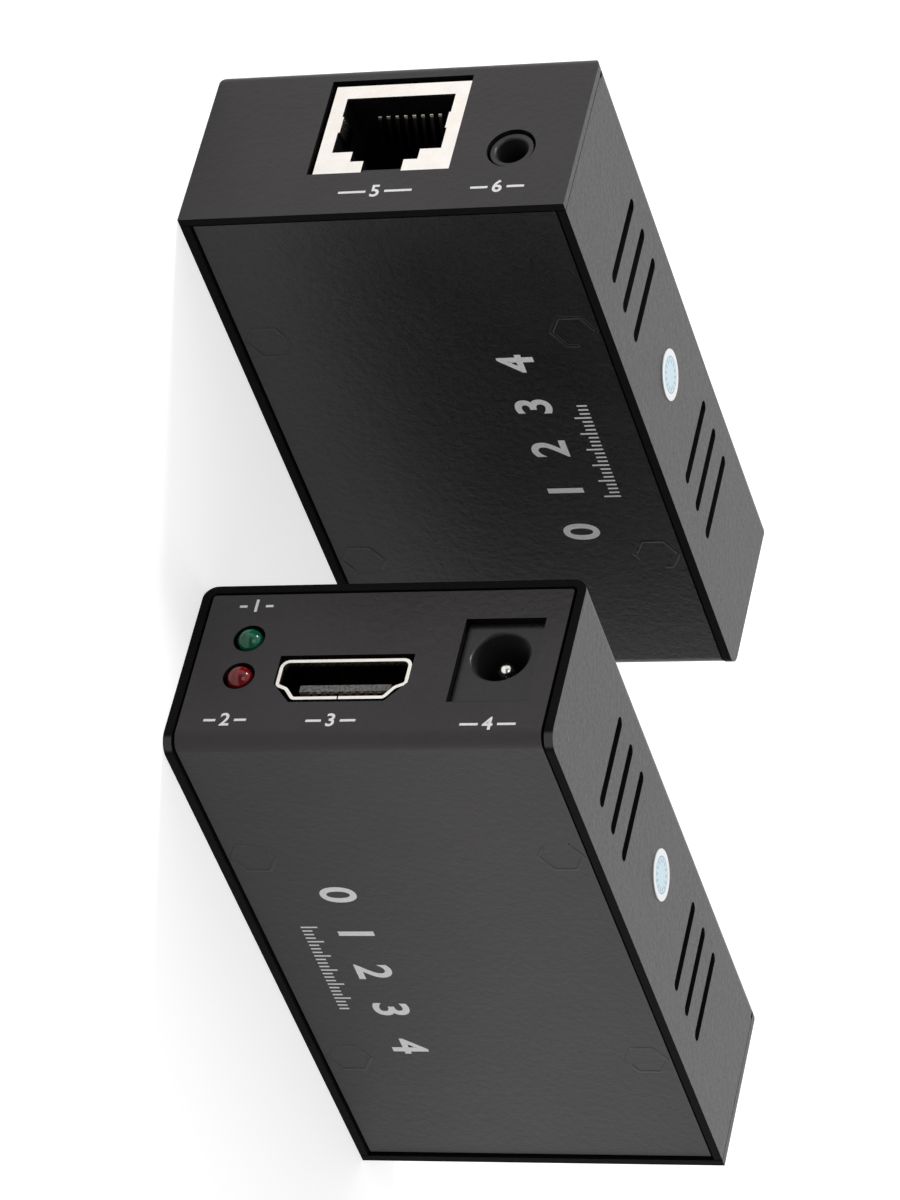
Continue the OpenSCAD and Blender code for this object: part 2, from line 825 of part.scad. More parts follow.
// Plastic body of the power jack
module dc_housing() {
    front = dc_setback;
    back = dc_setback + dc_length;
    color([0.13, 0.13, 0.14])
        difference() {
            block([front, board_top, dc_z - dc_w / 2], [back, board_top + dc_h, dc_z + dc_w / 2]);
            translate([front - overrun, dc_y, dc_z]) rod_x(dc_bore_r, dc_bore_depth + overrun);
            translate([front - press_gap, dc_y, dc_z])
                rod_x(dc_bore_r + dc_chamfer, dc_chamfer, dc_bore_r);
            translate([front, dc_y, dc_z])
                rod_x(dc_pin_r + dc_shank_step + press_gap, dc_length + overrun);
            block(
                [back - dc_back_step_length, board_top + dc_h - dc_back_step_h,
                    dc_z - dc_w / 2 - overrun],
                [back + overrun, board_top + dc_h + overrun, dc_z + dc_w / 2 + overrun]
            );
            block(
                [front + dc_bore_depth - dc_channel_length, dc_y - dc_bore_r - dc_channel_depth,
                    dc_z - dc_channel_w / 2],
                [front + dc_bore_depth, dc_y - dc_bore_r / 2, dc_z + dc_channel_w / 2]
            );
        }
}

// Centre pin of the power jack, riveted to its terminal at the back
module dc_pin() {
    tip = dc_setback + dc_pin_recess;
    shoulder = dc_setback + dc_bore_depth;
    back = dc_setback + dc_length;
    color([0.82, 0.8, 0.76]) {
        translate([tip, dc_y, dc_z])
            rotate([0, 90, 0])
                rotate_extrude() {
                    intersection() {
                        translate([0, dc_pin_r]) circle(dc_pin_r);
                        square(dc_pin_r);
                    }
                    translate([0, dc_pin_r]) square([dc_pin_r, shoulder - tip - dc_pin_r]);
                    translate([0, shoulder - tip])
                        square([dc_pin_r + dc_shank_step, back - shoulder]);
                }
        translate([back, dc_y, dc_z]) rod_x(dc_rivet_r, 2 * dc_terminal_t);
        block(
            [back, board_top, dc_z - dc_terminal_w / 2],
            [back + dc_terminal_t, dc_y + dc_rivet_r, dc_z + dc_terminal_w / 2]
        );
    }
}

// Leaf along x in the (x, y) plane: from a round root at 0 it rises to a rounded crest
// of height lift above the root, near its free end at -length, and dips again
module leaf(length, t, root_r, lift, width) {
    crest = length * leaf_crest_share;
    translate([0, 0, -width / 2])
        linear_extrude(width) {
            circle(root_r);
            polygon([
                [0, t / 2], [-crest, lift], [-length, lift - t],
                [-length, lift - 2 * t], [-crest, lift - t], [0, -t / 2]
            ]);
        }
}

dc_root = [
    dc_setback + dc_bore_depth - dc_spring_root_r - spring_gap,
    dc_y - dc_bore_r - dc_spring_root_r + spring_gap,
    dc_z
];

// Leaf that presses on the plug's sleeve in the power jack
module dc_spring() {
    color([0.82, 0.8, 0.76])
        translate(dc_root)
            leaf(dc_spring_length, dc_spring_t, dc_spring_root_r,
                dc_spring_lift + dc_spring_root_r, dc_spring_w);
}

// Outline of the network port's window in (y, z), from the notch's foot at low
module rj_window(low) {
    sill = rj_sill_h;
    square_at(low, sill - rj_step_h + press_gap, rj_notch_w);
    square_at(sill - rj_step_h, sill + press_gap, rj_step_w);
    square_at(sill, sill + rj_window_h, rj_window_w);
}

// Rectangle in (y, z) between two heights, centred across
module square_at(low, high, width) {
    translate([low, -width / 2]) square([high - low, width]);
}

// Metal shield of the network port, with side fingers that press on the plug
module rj45_shield() {
    inner = rj_w / 2 - rj_sheet;
    color([0.8, 0.77, 0.72])
        at_network_end()
            translate([rj_setback, board_top, mid_z]) {
                difference() {
                    block([0, 0, -rj_w / 2], [rj_length, rj_h, rj_w / 2]);
                    block(
                        [rj_sheet, -overrun, -inner],
                        [rj_length - rj_sheet, rj_h - rj_sheet, inner]
                    );
                    translate([-overrun, 0, 0])
                        along_x(rj_sheet + 2 * overrun) rj_window(-overrun);
                }
                for (side = [0, 1])
                    mirror([0, 0, side])
                        translate([0, rj_sill_h + rj_finger_h, 0])
                            rotate([-90, 0, 0])
                                linear_extrude(rj_finger_w)
                                    polygon([
                                        [0, rj_window_w / 2 + rj_finger_t],
                                        [0, rj_window_w / 2 - rj_finger_t],
                                        [rj_finger_length, rj_window_w / 2 - rj_finger_reach],
                                        [rj_finger_length,
                                            rj_window_w / 2 - rj_finger_reach + rj_finger_t],
                                        [rj_sheet, rj_window_w / 2 + rj_finger_t]
                                    ]);
            }
}

// Plastic body of the network port, with the plug's cavity and the comb for the contacts
module rj45_housing() {
    front = rj_sheet + fit_gap;
    back = rj_length - rj_sheet - fit_gap;
    side = rj_w / 2 - rj_sheet - fit_gap;
    roof = rj_h - rj_sheet - fit_gap;
    ceiling = rj_sill_h + rj_window_h;
    color([0.1, 0.1, 0.11])
        at_network_end()
            translate([rj_setback, board_top, mid_z])
                difference() {
                    block([front, 0, -side], [back, roof, side]);
                    translate([0, 0, 0])
                        along_x(rj_cavity_depth)
                            square_at(rj_sill_h, ceiling, rj_window_w - fit_gap);
                    translate([0, 0, 0])
                        along_x(rj_notch_depth) {
                            square_at(rj_sill_h - rj_step_h, rj_sill_h + fit_gap, rj_step_w);
                            square_at(rj_floor, rj_sill_h, rj_notch_w);
                        }
                    block(
                        [0, rj_sill_h + rj_finger_h - fit_gap, -rj_window_w / 2 - rj_finger_t - fit_gap],
                        [rj_finger_length + fit_gap, rj_sill_h + rj_finger_h + rj_finger_w + fit_gap,
                            rj_window_w / 2 + rj_finger_t + fit_gap]
                    );
                    for (i = [0 : rj_contacts - 1])
                        translate([rj_comb_start, ceiling - fit_gap,
                            (i - (rj_contacts - 1) / 2) * rj_pitch - rj_comb_w / 2])
                            cube([rj_cavity_depth - rj_comb_start, rj_comb_h + fit_gap, rj_comb_w]);
                    block(
                        [rj_pin_row_1 - rj_pin_room, -overrun, -side - overrun],
                        [back + overrun, rj_pin_h, side + overrun]
                    );
                }
}

rj_root = [
    rj_setback + rj_wire_root_depth,
    board_top + rj_sill_h + rj_window_h + rj_wire_root_lift,
    mid_z
];

// The eight contact wires that bear on the plug, hung from the comb in the ceiling
module rj45_contacts() {
    color([0.86, 0.7, 0.34])
        at_network_end()
            for (i = [0 : rj_contacts - 1])
                translate(rj_root + [0, 0, (i - (rj_contacts - 1) / 2) * rj_pitch - rj_wire_w / 2])
                    linear_extrude(rj_wire_w) {
                        circle(rj_wire_t / 2);
                        polygon([
                            [0, -rj_wire_t / 2],
                            [rj_wire_run, -rj_wire_drop - rj_wire_t / 2],
                            [rj_wire_run + rj_wire_t, -rj_wire_drop],
                            [rj_wire_run, -rj_wire_drop + rj_wire_t / 2],
                            [rj_wire_t / 2, 0],
                            [0, rj_wire_t / 2]
                        ]);
                    }
}

// Pins of the network port between its housing and the board
module rj45_pins() {
    color([0.82, 0.8, 0.76])
        at_network_end()
            for (i = [0 : rj_contacts - 1])
                translate([
                    rj_setback + (i % 2 == 0 ? rj_pin_row_1 : rj_pin_row_2),
                    board_top,
                    mid_z + (i - (rj_contacts - 1) / 2) * rj_pitch - rj_pin_w / 2
                ])
                    cube([rj_pin_w, rj_pin_h, rj_pin_w]);
}

// Infrared jack: nose in the panel's hole, body on the board, bore for the plug
module ir_jack() {
    body_front = ir_setback + ir_nose_length;
    color([0.12, 0.12, 0.13])
        at_network_end()
            difference() {
                union() {
                    translate([ir_setback, ir_y, ir_z])
                        rod_x(ir_nose_d / 2, ir_nose_length + overrun);
                    block(
                        [body_front, board_top, ir_z - ir_w / 2],
                        [body_front + ir_length, board_top + ir_body_h, ir_z + ir_w / 2]
                    );
                }
                translate([ir_setback - overrun, ir_y, ir_z])
                    rod_x(ir_bore_d / 2, ir_bush_depth + 2 * overrun);
                translate([ir_setback + ir_bush_depth, ir_y, ir_z])
                    rod_x(ir_bore_d / 2 + ir_bore_step, ir_bore_depth - ir_bush_depth);
                translate([ir_setback - press_gap, ir_y, ir_z])
                    rod_x(ir_bore_d / 2 + ir_chamfer, ir_chamfer, ir_bore_d / 2);
                block(
                    [body_front + ir_channel_start, ir_y - ir_channel_w / 2, ir_z],
                    [body_front + ir_channel_start + ir_channel_length, ir_y + ir_channel_w / 2,
                        ir_z + ir_w / 2 - ir_channel_side + fit_gap]
                );
            }
}

ir_root = [
    ir_setback + ir_nose_length + ir_channel_start + ir_channel_length
        - ir_spring_root_r - spring_gap,
    ir_y,
    ir_z + ir_bore_d / 2 + ir_spring_root_r - spring_gap
];

// Leaf that presses on the plug's tip in the infrared jack
module ir_spring() {
    color([0.82, 0.8, 0.76])
        at_network_end()
            translate(ir_root)
                rotate([-90, 0, 0])
                    leaf(ir_spring_length, ir_spring_t, ir_spring_root_r,
                        ir_spring_lift + ir_spring_root_r, ir_spring_w);
}

// One lamp with a flange and a domed lens that stands out of the panel, its axis at height y
module led(y) {
    translate([-led_reach, y, led_z])
        rotate([0, 90, 0])
            rotate_extrude() {
                intersection() {
                    translate([0, led_r]) circle(led_r);
                    square(led_r);
                }
                translate([0, led_r]) square([led_r, led_barrel]);
                translate([0, led_r + led_barrel]) square([led_flange_r, led_flange_t]);
            }
}

module led_green() {
    color([0.05, 0.5, 0.3]) led(led_y_high);
}

module led_red() {
    color([0.6, 0.06, 0.06]) led(led_y_low);
}

// Block that holds the two lamps above the board
module led_holder() {
    flange_at = led_r + led_barrel - led_reach;
    color([0.12, 0.12, 0.12])
        difference() {
            block(
                [led_holder_front, board_top, led_z - led_holder_w / 2],
                [led_holder_front + led_holder_length, led_y_high + led_holder_roof,
                    led_z + led_holder_w / 2]
            );
            for (y = [led_y_low, led_y_high])
                translate([0, y, led_z]) {
                    rod_x(led_r + fit_gap, flange_at + fit_gap);
                    translate([flange_at - fit_gap, 0, 0])
                        rod_x(led_flange_r + fit_gap, led_holder_length + overrun);
                }
        }
}

// Flat package with pins on four sides or two, and a dot at its first pin
module flat_chip(size_x, size_z, t, pins, pitch, four_sides) {
    difference() {
        translate([-size_x / 2, chip_stand, -size_z / 2]) cube([size_x, t, size_z]);
        translate([chip_dot_inset - size_x / 2, chip_stand + t - chip_dot_depth,
            chip_dot_inset - size_z / 2])
            rod_y(chip_dot_r, chip_dot_depth + overrun);
    }
    for (turn = four_sides ? [0, 90, 180, 270] : [0, 180])
        rotate([0, turn, 0])
            for (i = [0 : pins - 1])
                translate([size_x / 2 - press_gap, 0, (i - (pins - 1) / 2) * pitch - pin_w / 2]) {
                    translate([0, pin_rise, 0]) cube([pin_reach / 2, pin_t, pin_w]);
                    translate([pin_reach / 2 - pin_t, 0, 0])
                        cube([pin_t, pin_rise + pin_t, pin_w]);
                    translate([pin_reach / 2 - pin_t, 0, 0])
                        cube([pin_reach / 2 + pin_t, pin_t, pin_w]);
                }
}

// Large chip that sends or receives over the network cable
module link_chip() {
    color([0.14, 0.14, 0.15])
        translate(on_board(link_chip_x, link_chip_z))
            flat_chip(link_chip_side, link_chip_side, link_chip_t, link_chip_pins,
                link_chip_pitch, true);
}

// Chip behind the video port, soldered flat on the board
module hdmi_chip() {
    color([0.15, 0.15, 0.16])
        translate(on_board(hdmi_chip_x, hdmi_z))
            difference() {
                translate([-hdmi_chip_side / 2, 0, -hdmi_chip_side / 2])
                    cube([hdmi_chip_side, hdmi_chip_t, hdmi_chip_side]);
                translate([chip_dot_inset - hdmi_chip_side / 2, hdmi_chip_t - chip_dot_depth,
                    chip_dot_inset - hdmi_chip_side / 2])
                    rod_y(chip_dot_r, chip_dot_depth + overrun);
            }
}

// Transformer block between the network port and the large chip
module magnetics() {
    color([0.17, 0.17, 0.18])
        translate(on_board(magnetics_x, mid_z))
            flat_chip(magnetics_l, magnetics_w, magnetics_h, magnetics_pins,
                magnetics_pitch, false);
}

// Power inductor: square ends and a wound middle
module inductor() {
    color([0.32, 0.32, 0.34])
        translate(on_board(inductor_x, inductor_z)) {
            translate([-inductor_side / 2, 0, -inductor_side / 2])
                cube([inductor_side, inductor_plate, inductor_side]);
            translate([0, inductor_plate, 0])
                rod_y(inductor_winding_r, inductor_h - 2 * inductor_plate);
            translate([0, inductor_h - inductor_plate, 0])
                rod_y(inductor_core_r, inductor_plate);
        }
}

// Voltage regulator
module regulator() {
    color([0.14, 0.14, 0.15])
        translate(on_board(regulator_x, regulator_z))
            rotate([0, 90, 0])
                flat_chip(regulator_w, regulator_l, regulator_h, regulator_pins,
                    regulator_pitch, false);
}

// Can capacitors on square feet, with the groove that holds their rubber
module capacitors() {
    color([0.75, 0.75, 0.77])
        for (x = capacitor_x)
            translate(on_board(x, regulator_z)) {
                translate([-capacitor_foot / 2, 0, -capacitor_foot / 2])
                    cube([capacitor_foot, capacitor_foot_h, capacitor_foot]);
                rotate([-90, 0, 0])
                    rotate_extrude()
                        polygon([
                            [0, 0],
                            [capacitor_r, 0],
                            [capacitor_r, capacitor_groove_h],
                            [capacitor_groove_r, capacitor_groove_h],
                            [capacitor_groove_r, capacitor_groove_h + capacitor_groove_w],
                            [capacitor_r, capacitor_groove_h + capacitor_groove_w],
                            [capacitor_r, capacitor_h],
                            [0, capacitor_h]
                        ]);
            }
}

// Quartz crystal: a flat can with round ends on a wider rim
module crystal() {
    color([0.8, 0.8, 0.82])
        translate(on_board(crystal_x, crystal_z)) {
            crystal_can(crystal_rim, crystal_foot);
            crystal_can(0, crystal_h);
        }
}

module crystal_can(g, height) {
    half = (crystal_l - crystal_w) / 2;
    rotate([-90, 0, 0]) {
        for (end = [-1, 1])
            translate([end * half, 0, 0]) cylinder(r = crystal_w / 2 + g, h = height);
        translate([-half, -crystal_w / 2 - g, 0]) cube([2 * half, crystal_w + 2 * g, height]);
    }
}

// Small resistors and capacitors in rows, each with a raised solder cap at both ends
module chip_parts() {
    color([0.55, 0.47, 0.36])
        for (row = [0 : len(chip_part_length_shares) - 1])
            for (i = [0 : chip_parts_per_row - 1])
                translate(on_board(
                    chip_part_length_shares[row] * case_length
                        + (i - (chip_parts_per_row - 1) / 2) * chip_part_pitch,
                    row < 2 ? chip_row_low_z : chip_row_high_z
                )) {
                    translate([-chip_part_w / 2, 0, -chip_part_l / 2])
                        cube([chip_part_w, chip_part_h, chip_part_l]);
                    for (end = [0, 1])
                        mirror([0, 0, end])
                            translate([-chip_part_w / 2 - chip_part_end_t, 0,
                                chip_part_l / 2 - chip_part_end])
                                cube([chip_part_w + 2 * chip_part_end_t,
                                    chip_part_h + chip_part_end_t, chip_part_end]);
                }
}

// Round paper label on the side wall that faces up
module label(y, z) {
    color([0.93, 0.95, 0.96])
        translate([mid_x, y, z]) cylinder(d = label_d, h = label_t);
}

// Place of the sender: the video port faces the front
module sender() {
    translate([(pair_shift - case_length) / 2, -pair_gap / 2 - case_height, 0]) children();
}

// Place of the receiver: turned over end to end, so that its network port faces the front
module receiver() {
    translate([(case_length - pair_shift) / 2, pair_gap / 2, case_width])
        rotate([0, 180, 0]) children();
}

sender() shell();  // sender_shell
sender() base();  // sender_base
sender() standoffs();  // sender_standoffs
sender() board();  // sender_board
sender() spacers();  // sender_spacers
sender() case_screws();  // sender_case_screws
sender() hdmi_shell();  // sender_hdmi_shell
sender() hdmi_insulator();  // sender_hdmi_insulator
sender() hdmi_contacts();  // sender_hdmi_contacts
sender() dc_housing();  // sender_dc_housing
sender() dc_pin();  // sender_dc_pin
sender() dc_spring();  // sender_dc_spring
sender() rj45_shield();  // sender_rj45_shield
sender() rj45_housing();  // sender_rj45_housing
sender() rj45_contacts();  // sender_rj45_contacts
sender() rj45_pins();  // sender_rj45_pins
sender() ir_jack();  // sender_ir_jack
sender() ir_spring();  // sender_ir_spring
sender() led_green();  // sender_led_green
sender() led_red();  // sender_led_red
sender() led_holder();  // sender_led_holder
sender() link_chip();  // sender_link_chip
sender() hdmi_chip();  // sender_hdmi_chip
sender() magnetics();  // sender_magnetics
sender() inductor();  // sender_inductor
sender() regulator();  // sender_regulator
sender() capacitors();  // sender_capacitors
sender() crystal();  // sender_crystal
sender() chip_parts();  // sender_chip_parts
sender() label(sender_label_y, case_width);  // sender_label
receiver() shell();  // receiver_shell
receiver() base();  // receiver_base
receiver() standoffs();  // receiver_standoffs
receiver() board();  // receiver_board
receiver() spacers();  // receiver_spacers
receiver() case_screws();  // receiver_case_screws
receiver() hdmi_shell();  // receiver_hdmi_shell
receiver() hdmi_insulator();  // receiver_hdmi_insulator
receiver() hdmi_contacts();  // receiver_hdmi_contacts
receiver() dc_housing();  // receiver_dc_housing
receiver() dc_pin();  // receiver_dc_pin
receiver() dc_spring();  // receiver_dc_spring
receiver() rj45_shield();  // receiver_rj45_shield
receiver() rj45_housing();  // receiver_rj45_housing
receiver() rj45_contacts();  // receiver_rj45_contacts
receiver() rj45_pins();  // receiver_rj45_pins
receiver() ir_jack();  // receiver_ir_jack
receiver() ir_spring();  // receiver_ir_spring
receiver() led_green();  // receiver_led_green
receiver() led_red();  // receiver_led_red
receiver() led_holder();  // receiver_led_holder
receiver() link_chip();  // receiver_link_chip
receiver() hdmi_chip();  // receiver_hdmi_chip
receiver() magnetics();  // receiver_magnetics
receiver() inductor();  // receiver_inductor
receiver() regulator();  // receiver_regulator
receiver() capacitors();  // receiver_capacitors
receiver() crystal();  // receiver_crystal
receiver() chip_parts();  // receiver_chip_parts
receiver() label(receiver_label_y, -label_t);  // receiver_label
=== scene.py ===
"""A pair of small black sheet-metal boxes that carry a video signal over a network cable."""
import json
import math

import bmesh
import bpy
from mathutils import Matrix, Vector


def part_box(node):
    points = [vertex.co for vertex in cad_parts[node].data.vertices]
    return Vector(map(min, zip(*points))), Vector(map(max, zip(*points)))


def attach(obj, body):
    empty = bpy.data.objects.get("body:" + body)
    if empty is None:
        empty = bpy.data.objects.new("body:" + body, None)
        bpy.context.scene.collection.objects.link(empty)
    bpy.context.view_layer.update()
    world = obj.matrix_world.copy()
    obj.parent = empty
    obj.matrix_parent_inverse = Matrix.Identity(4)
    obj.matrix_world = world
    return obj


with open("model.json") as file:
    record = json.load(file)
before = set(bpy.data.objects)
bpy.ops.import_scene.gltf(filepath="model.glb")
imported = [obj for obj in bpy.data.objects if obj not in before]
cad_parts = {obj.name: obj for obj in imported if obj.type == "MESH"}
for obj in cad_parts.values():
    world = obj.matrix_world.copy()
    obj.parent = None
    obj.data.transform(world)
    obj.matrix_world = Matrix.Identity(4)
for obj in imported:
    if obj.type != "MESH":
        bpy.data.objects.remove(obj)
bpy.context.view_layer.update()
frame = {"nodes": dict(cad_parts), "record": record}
nodes = frame["nodes"]

MM = 0.001
UNITS = ("sender", "receiver")

# Camera: place, the point that it looks at, the direction that is up in the picture, and lens
CAMERA_PLACE = Vector((-492.47, -407.51, 244.0)) * MM
CAMERA_AIM = Vector((-0.4, 4.05, 18.41)) * MM
CAMERA_UP = Vector((-0.63659, 0.77099, 0.01799))
CAMERA_SENSOR = 36.0
CAMERA_LENS = 176.77
CAMERA_NEAREST = 0.01

# Light: level of the surroundings on matt surfaces and in mirroring ones.
# The studio is dark on one side, within the second cosine of the direction DARK_SIDE.
WORLD_LEVEL = 0.78
MIRRORED_LEVEL = 1.0
DARK_SIDE = (-0.72, -0.61, 0.33)
DARK_LEVEL = 0.12
DARK_COSINES = (0.5, 0.85)
FLOOR_COLOUR = (0.8, 0.8, 0.8, 1)
FLOOR_LIFT_SEEN = 0.52
FLOOR_LIFT_MIRRORED = 0.33
FLOOR_HALF = 3.0

# Paint on the sheet metal, with painted shade where the sheet is cut: a darker colour, a dimmer
# reflection and a rougher finish there
PAINT_DARK = (0.0060, 0.0052, 0.0056, 1)
PAINT_LIGHT = (0.0110, 0.0098, 0.0104, 1)
PAINT_GLOSS = (1.0, 0.95, 0.97, 1)
PAINT_ROUGHNESS = (0.28, 0.42)
PAINT_IOR = 1.5
PAINT_GRAIN = 0.42 * MM
PAINT_WRINKLE = 0.9 * MM
PAINT_WRINKLE_WEIGHT = 0.7
PAINT_CLOUDS = 9 * MM
PAINT_RELIEF = 0.06 * MM
PAINT_RELIEF_SHARE = 0.65
# Painted shade on cut edges: their colour and reflection tint, with their roughness
CUT_EDGE_SHADE = (0.0022, 0.0020, 0.0021, 1)
CUT_SHADE_GLOSS = (0.16, 0.15, 0.155, 1)
CUT_ROUGHNESS = 0.85
PLATE_BEND = 2 * MM
PLATE_BEND_FADE = 0.2 * MM

# Cosines between which a face comes to count as square to a direction
SQUARE_COSINES = (0.9, 0.97)

# Metals and plastics, each from its darker to its lighter patches
NICKEL = ((0.83, 0.78, 0.73, 1), (0.90, 0.855, 0.81, 1))
GOLD = ((0.80, 0.58, 0.26, 1), (0.93, 0.74, 0.40, 1))
PALE_GOLD = ((0.84, 0.76, 0.60, 1), (0.95, 0.88, 0.74, 1))
TIN = ((0.74, 0.73, 0.70, 1), (0.88, 0.87, 0.84, 1))
BRASS = ((0.66, 0.50, 0.22, 1), (0.80, 0.66, 0.36, 1))
ALUMINIUM = ((0.70, 0.70, 0.71, 1), (0.84, 0.84, 0.86, 1))
BLACK_OXIDE = ((0.016, 0.016, 0.018, 1), (0.04, 0.04, 0.044, 1))
JACK_BLACK = ((0.003, 0.003, 0.0033, 1), (0.006, 0.006, 0.0065, 1))
TONGUE_GREY = ((0.02, 0.019, 0.018, 1), (0.26, 0.25, 0.24, 1))
CHIP_BLACK = ((0.020, 0.020, 0.021, 1), (0.036, 0.036, 0.038, 1))
FERRITE = ((0.085, 0.085, 0.09, 1), (0.14, 0.14, 0.15, 1))
CERAMIC = ((0.30, 0.22, 0.14, 1), (0.46, 0.36, 0.25, 1))
SOLDER_MASK = ((0.012, 0.13, 0.055, 1), (0.05, 0.27, 0.11, 1))
LENS_GREEN = ((0.0, 0.075, 0.034, 1), (0.001, 0.13, 0.062, 1))
LENS_RED = ((0.12, 0.001, 0.0015, 1), (0.21, 0.003, 0.004, 1))
INK_WHITE = ((0.84, 0.83, 0.84, 1), (0.97, 0.97, 0.97, 1))
# Painted shade: the dark colours that port mouths, jack bores and the lower network wires turn to,
# and the roughness in the bores
DEPTH_SHADE_METAL = (0.022, 0.020, 0.019, 1)
DEPTH_SHADE_PLASTIC = (0.0012, 0.0012, 0.0012, 1)
DULL_ROUGHNESS = 0.9

# Depths behind a port's rim between which its material turns dark as painted shade
NICKEL_RIM = 0.12 * MM
NICKEL_DEPTHS = {"hdmi_shell": 0.9 * MM, "rj45_shield": 1.7 * MM}
BORE_DEPTHS = (0.02 * MM, 0.22 * MM)

# Depths below their roots between which the network port's wires turn dark as painted shade
WIRE_DEPTHS = (0.2 * MM, 0.45 * MM)

# Round label: radii of its ring and of its ticks as shares of its own radius
LABEL_WHITE = (0.86, 0.88, 0.90, 1)
LABEL_RING = (0.30, 0.44, 0.56, 1)
LABEL_MIDDLE = (0.62, 0.78, 0.85, 1)
LABEL_RING_SHARES = (0.68, 0.73)
LABEL_TICK_SHARES = (0.46, 0.64)
LABEL_TICK_COUNT = 14

# Radius to which the edges of each kind of node are broken
EDGE_RADII = {
    "shell": 0.24 * MM,
    "base": 0.17 * MM,
    "standoffs": 0.1 * MM,
    "hdmi_shell": 0.07 * MM,
    "rj45_shield": 0.06 * MM,
    "dc_housing": 0.16 * MM,
    "ir_jack": 0.12 * MM,
    "rj45_housing": 0.08 * MM,
    "hdmi_insulator": 0.06 * MM,
    "hdmi_contacts": 0.02 * MM,
    "rj45_contacts": 0.05 * MM,
    "dc_spring": 0.04 * MM,
    "ir_spring": 0.04 * MM,
    "led_holder": 0.12 * MM,
    "label": 0.03 * MM,
}
EDGE_RADIUS = 0.06 * MM
EDGE_ANGLE = math.radians(30)
EDGE_STEPS = 3

# Kinds of node whose edges are broken by one flat instead of a rounding
CHAMFERED_KINDS = ("base", "dc_housing")

# Angle below which neighbouring faces count as one flat face
MERGE_ANGLE = math.radians(0.6)

# Outline of a standoff's head, pressed through the paint. The profile's shares are of the
# crease's half width and of its height.
STANDOFF_FLATS = 4.6 * MM
HEXAGON_SHARPNESS = 60
CREASE_HALF = 0.3 * MM
CREASE_HEIGHT = 0.045 * MM
CREASE_PROFILE_SHARES = (
    (-1.0, -0.2), (-0.55, 0.45), (-0.12, 1.0), (0.25, 0.75), (0.6, 0.3), (1.0, -0.2),
)
CREASE_STEPS = 96
CREASE_GAP_HALF = math.radians(38)
CREASE_FIRST_GAP = math.radians(150)
CREASE_GAP_STEP = math.radians(35)
CREASE_SWELL_SHARE = 0.25
CREASE_SWELL_WAVES = 3
CREASE_SWELL_SHIFT = 1.7
CREASE_FADES = 12

# Printing: a thin solid that is sunk a little into the face
INK_THICKNESS = 0.02 * MM
INK_SINK = 0.004 * MM

# Size of the font as a share of a numeral's height, and steps in each of its curves
FONT_SIZE_SHARE = 1.38
FONT_STEPS = 6

# Faces of a bar, by the order of its corners
BOX_FACES = ((3, 2, 1, 0), (4, 5, 6, 7), (0, 1, 5, 4), (1, 2, 6, 5), (2, 3, 7, 6), (3, 0, 4, 7))

# Numbers at the ports: number, kind of node, side of it (1 above, 0 below), gap from it to the
# middle of the number, shift across the case, and width over both bars
VIDEO_NUMBERS = (
    ("1", "led_green", 1, 2.8 * MM, -0.2 * MM, 4.0 * MM),
    ("2", "led_red", 0, 4.4 * MM, -0.2 * MM, 5.0 * MM),
    ("3", "hdmi_shell", 0, 3.15 * MM, 0, 5.8 * MM),
    ("4", "dc_housing", 0, 3.9 * MM, 0.8 * MM, 6.4 * MM),
)
NETWORK_NUMBERS = (
    ("5", "rj45_shield", 0, 3.2 * MM, -0.1 * MM, 8.6 * MM),
    ("6", "ir_jack", 0, 3.3 * MM, 0.45 * MM, 6.2 * MM),
)
NUMBER_HEIGHT = 1.75 * MM
NUMBER_WEIGHT = 0.05 * MM
BAR_GAP_HALF = 1.1 * MM
BAR_HALF = 0.16 * MM

# Scale on a base plate: numerals in a row, and a ruled line below them. Places are measured
# along the plate from the scale's start, and across it from the case's side.
SCALE_STARTS = {"sender": 25.3 * MM, "receiver": 22.7 * MM}
NUMERAL_COUNT = 5
NUMERAL_HEIGHT = 4.3 * MM
NUMERAL_WEIGHT = 0.12 * MM
NUMERAL_PITCH = 7.3 * MM
NUMERAL_FIRST = 2.4 * MM
NUMERAL_RISE = 12.2 * MM
RULE_FIRST = 8.4 * MM
RULE_RISE = 6.1 * MM
RULE_COUNT = 24
RULE_PITCH = 0.68 * MM
RULE_WIDTH = 0.24 * MM
RULE_SHORT = 1.2 * MM
RULE_LONG = 2.0 * MM
RULE_LONG_EVERY = 4


def unit_frame(unit):
    """Matrix from a unit's own frame, in metres, to the shared frame.

    In its own frame x runs from the video panel, y from the base plate's side and z across.
    """
    low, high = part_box(unit + "_shell")
    if unit == "sender":
        return Matrix.Translation(low)
    return Matrix.Translation((high.x, low.y, high.z)) @ Matrix.Rotation(math.pi, 4, "Y")


def own_box(unit, kind):
    """Lowest and highest corner of a unit's node, in the unit's own frame."""
    inverse = unit_frame(unit).inverted()
    ends = [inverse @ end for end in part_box(f"{unit}_{kind}")]
    return Vector(map(min, *ends)), Vector(map(max, *ends))


# Shader nodes

# Colour sockets of a Mix node, which share their names with its other sockets
COLOUR_A = 6
COLOUR_B = 7
COLOUR_RESULT = 2


def add_node(tree, kind, inputs=None, **settings):
    made = tree.nodes.new(kind)
    for name, value in settings.items():
        setattr(made, name, value)
    for name, value in (inputs or {}).items():
        if isinstance(value, bpy.types.NodeSocket):
            tree.links.new(value, made.inputs[name])
        else:
            made.inputs[name].default_value = value
    return made


def calculate(tree, operation, *values):
    return add_node(tree, "ShaderNodeMath", dict(enumerate(values)), operation=operation).outputs[0]


def dot_product(tree, first, second):
    return add_node(
        tree, "ShaderNodeVectorMath", {0: first, 1: second}, operation="DOT_PRODUCT"
    ).outputs["Value"]


def new_material(name):
    material = bpy.data.materials.new(name)
    material.use_nodes = True
    tree = material.node_tree
    return material, tree, tree.nodes["Principled BSDF"]


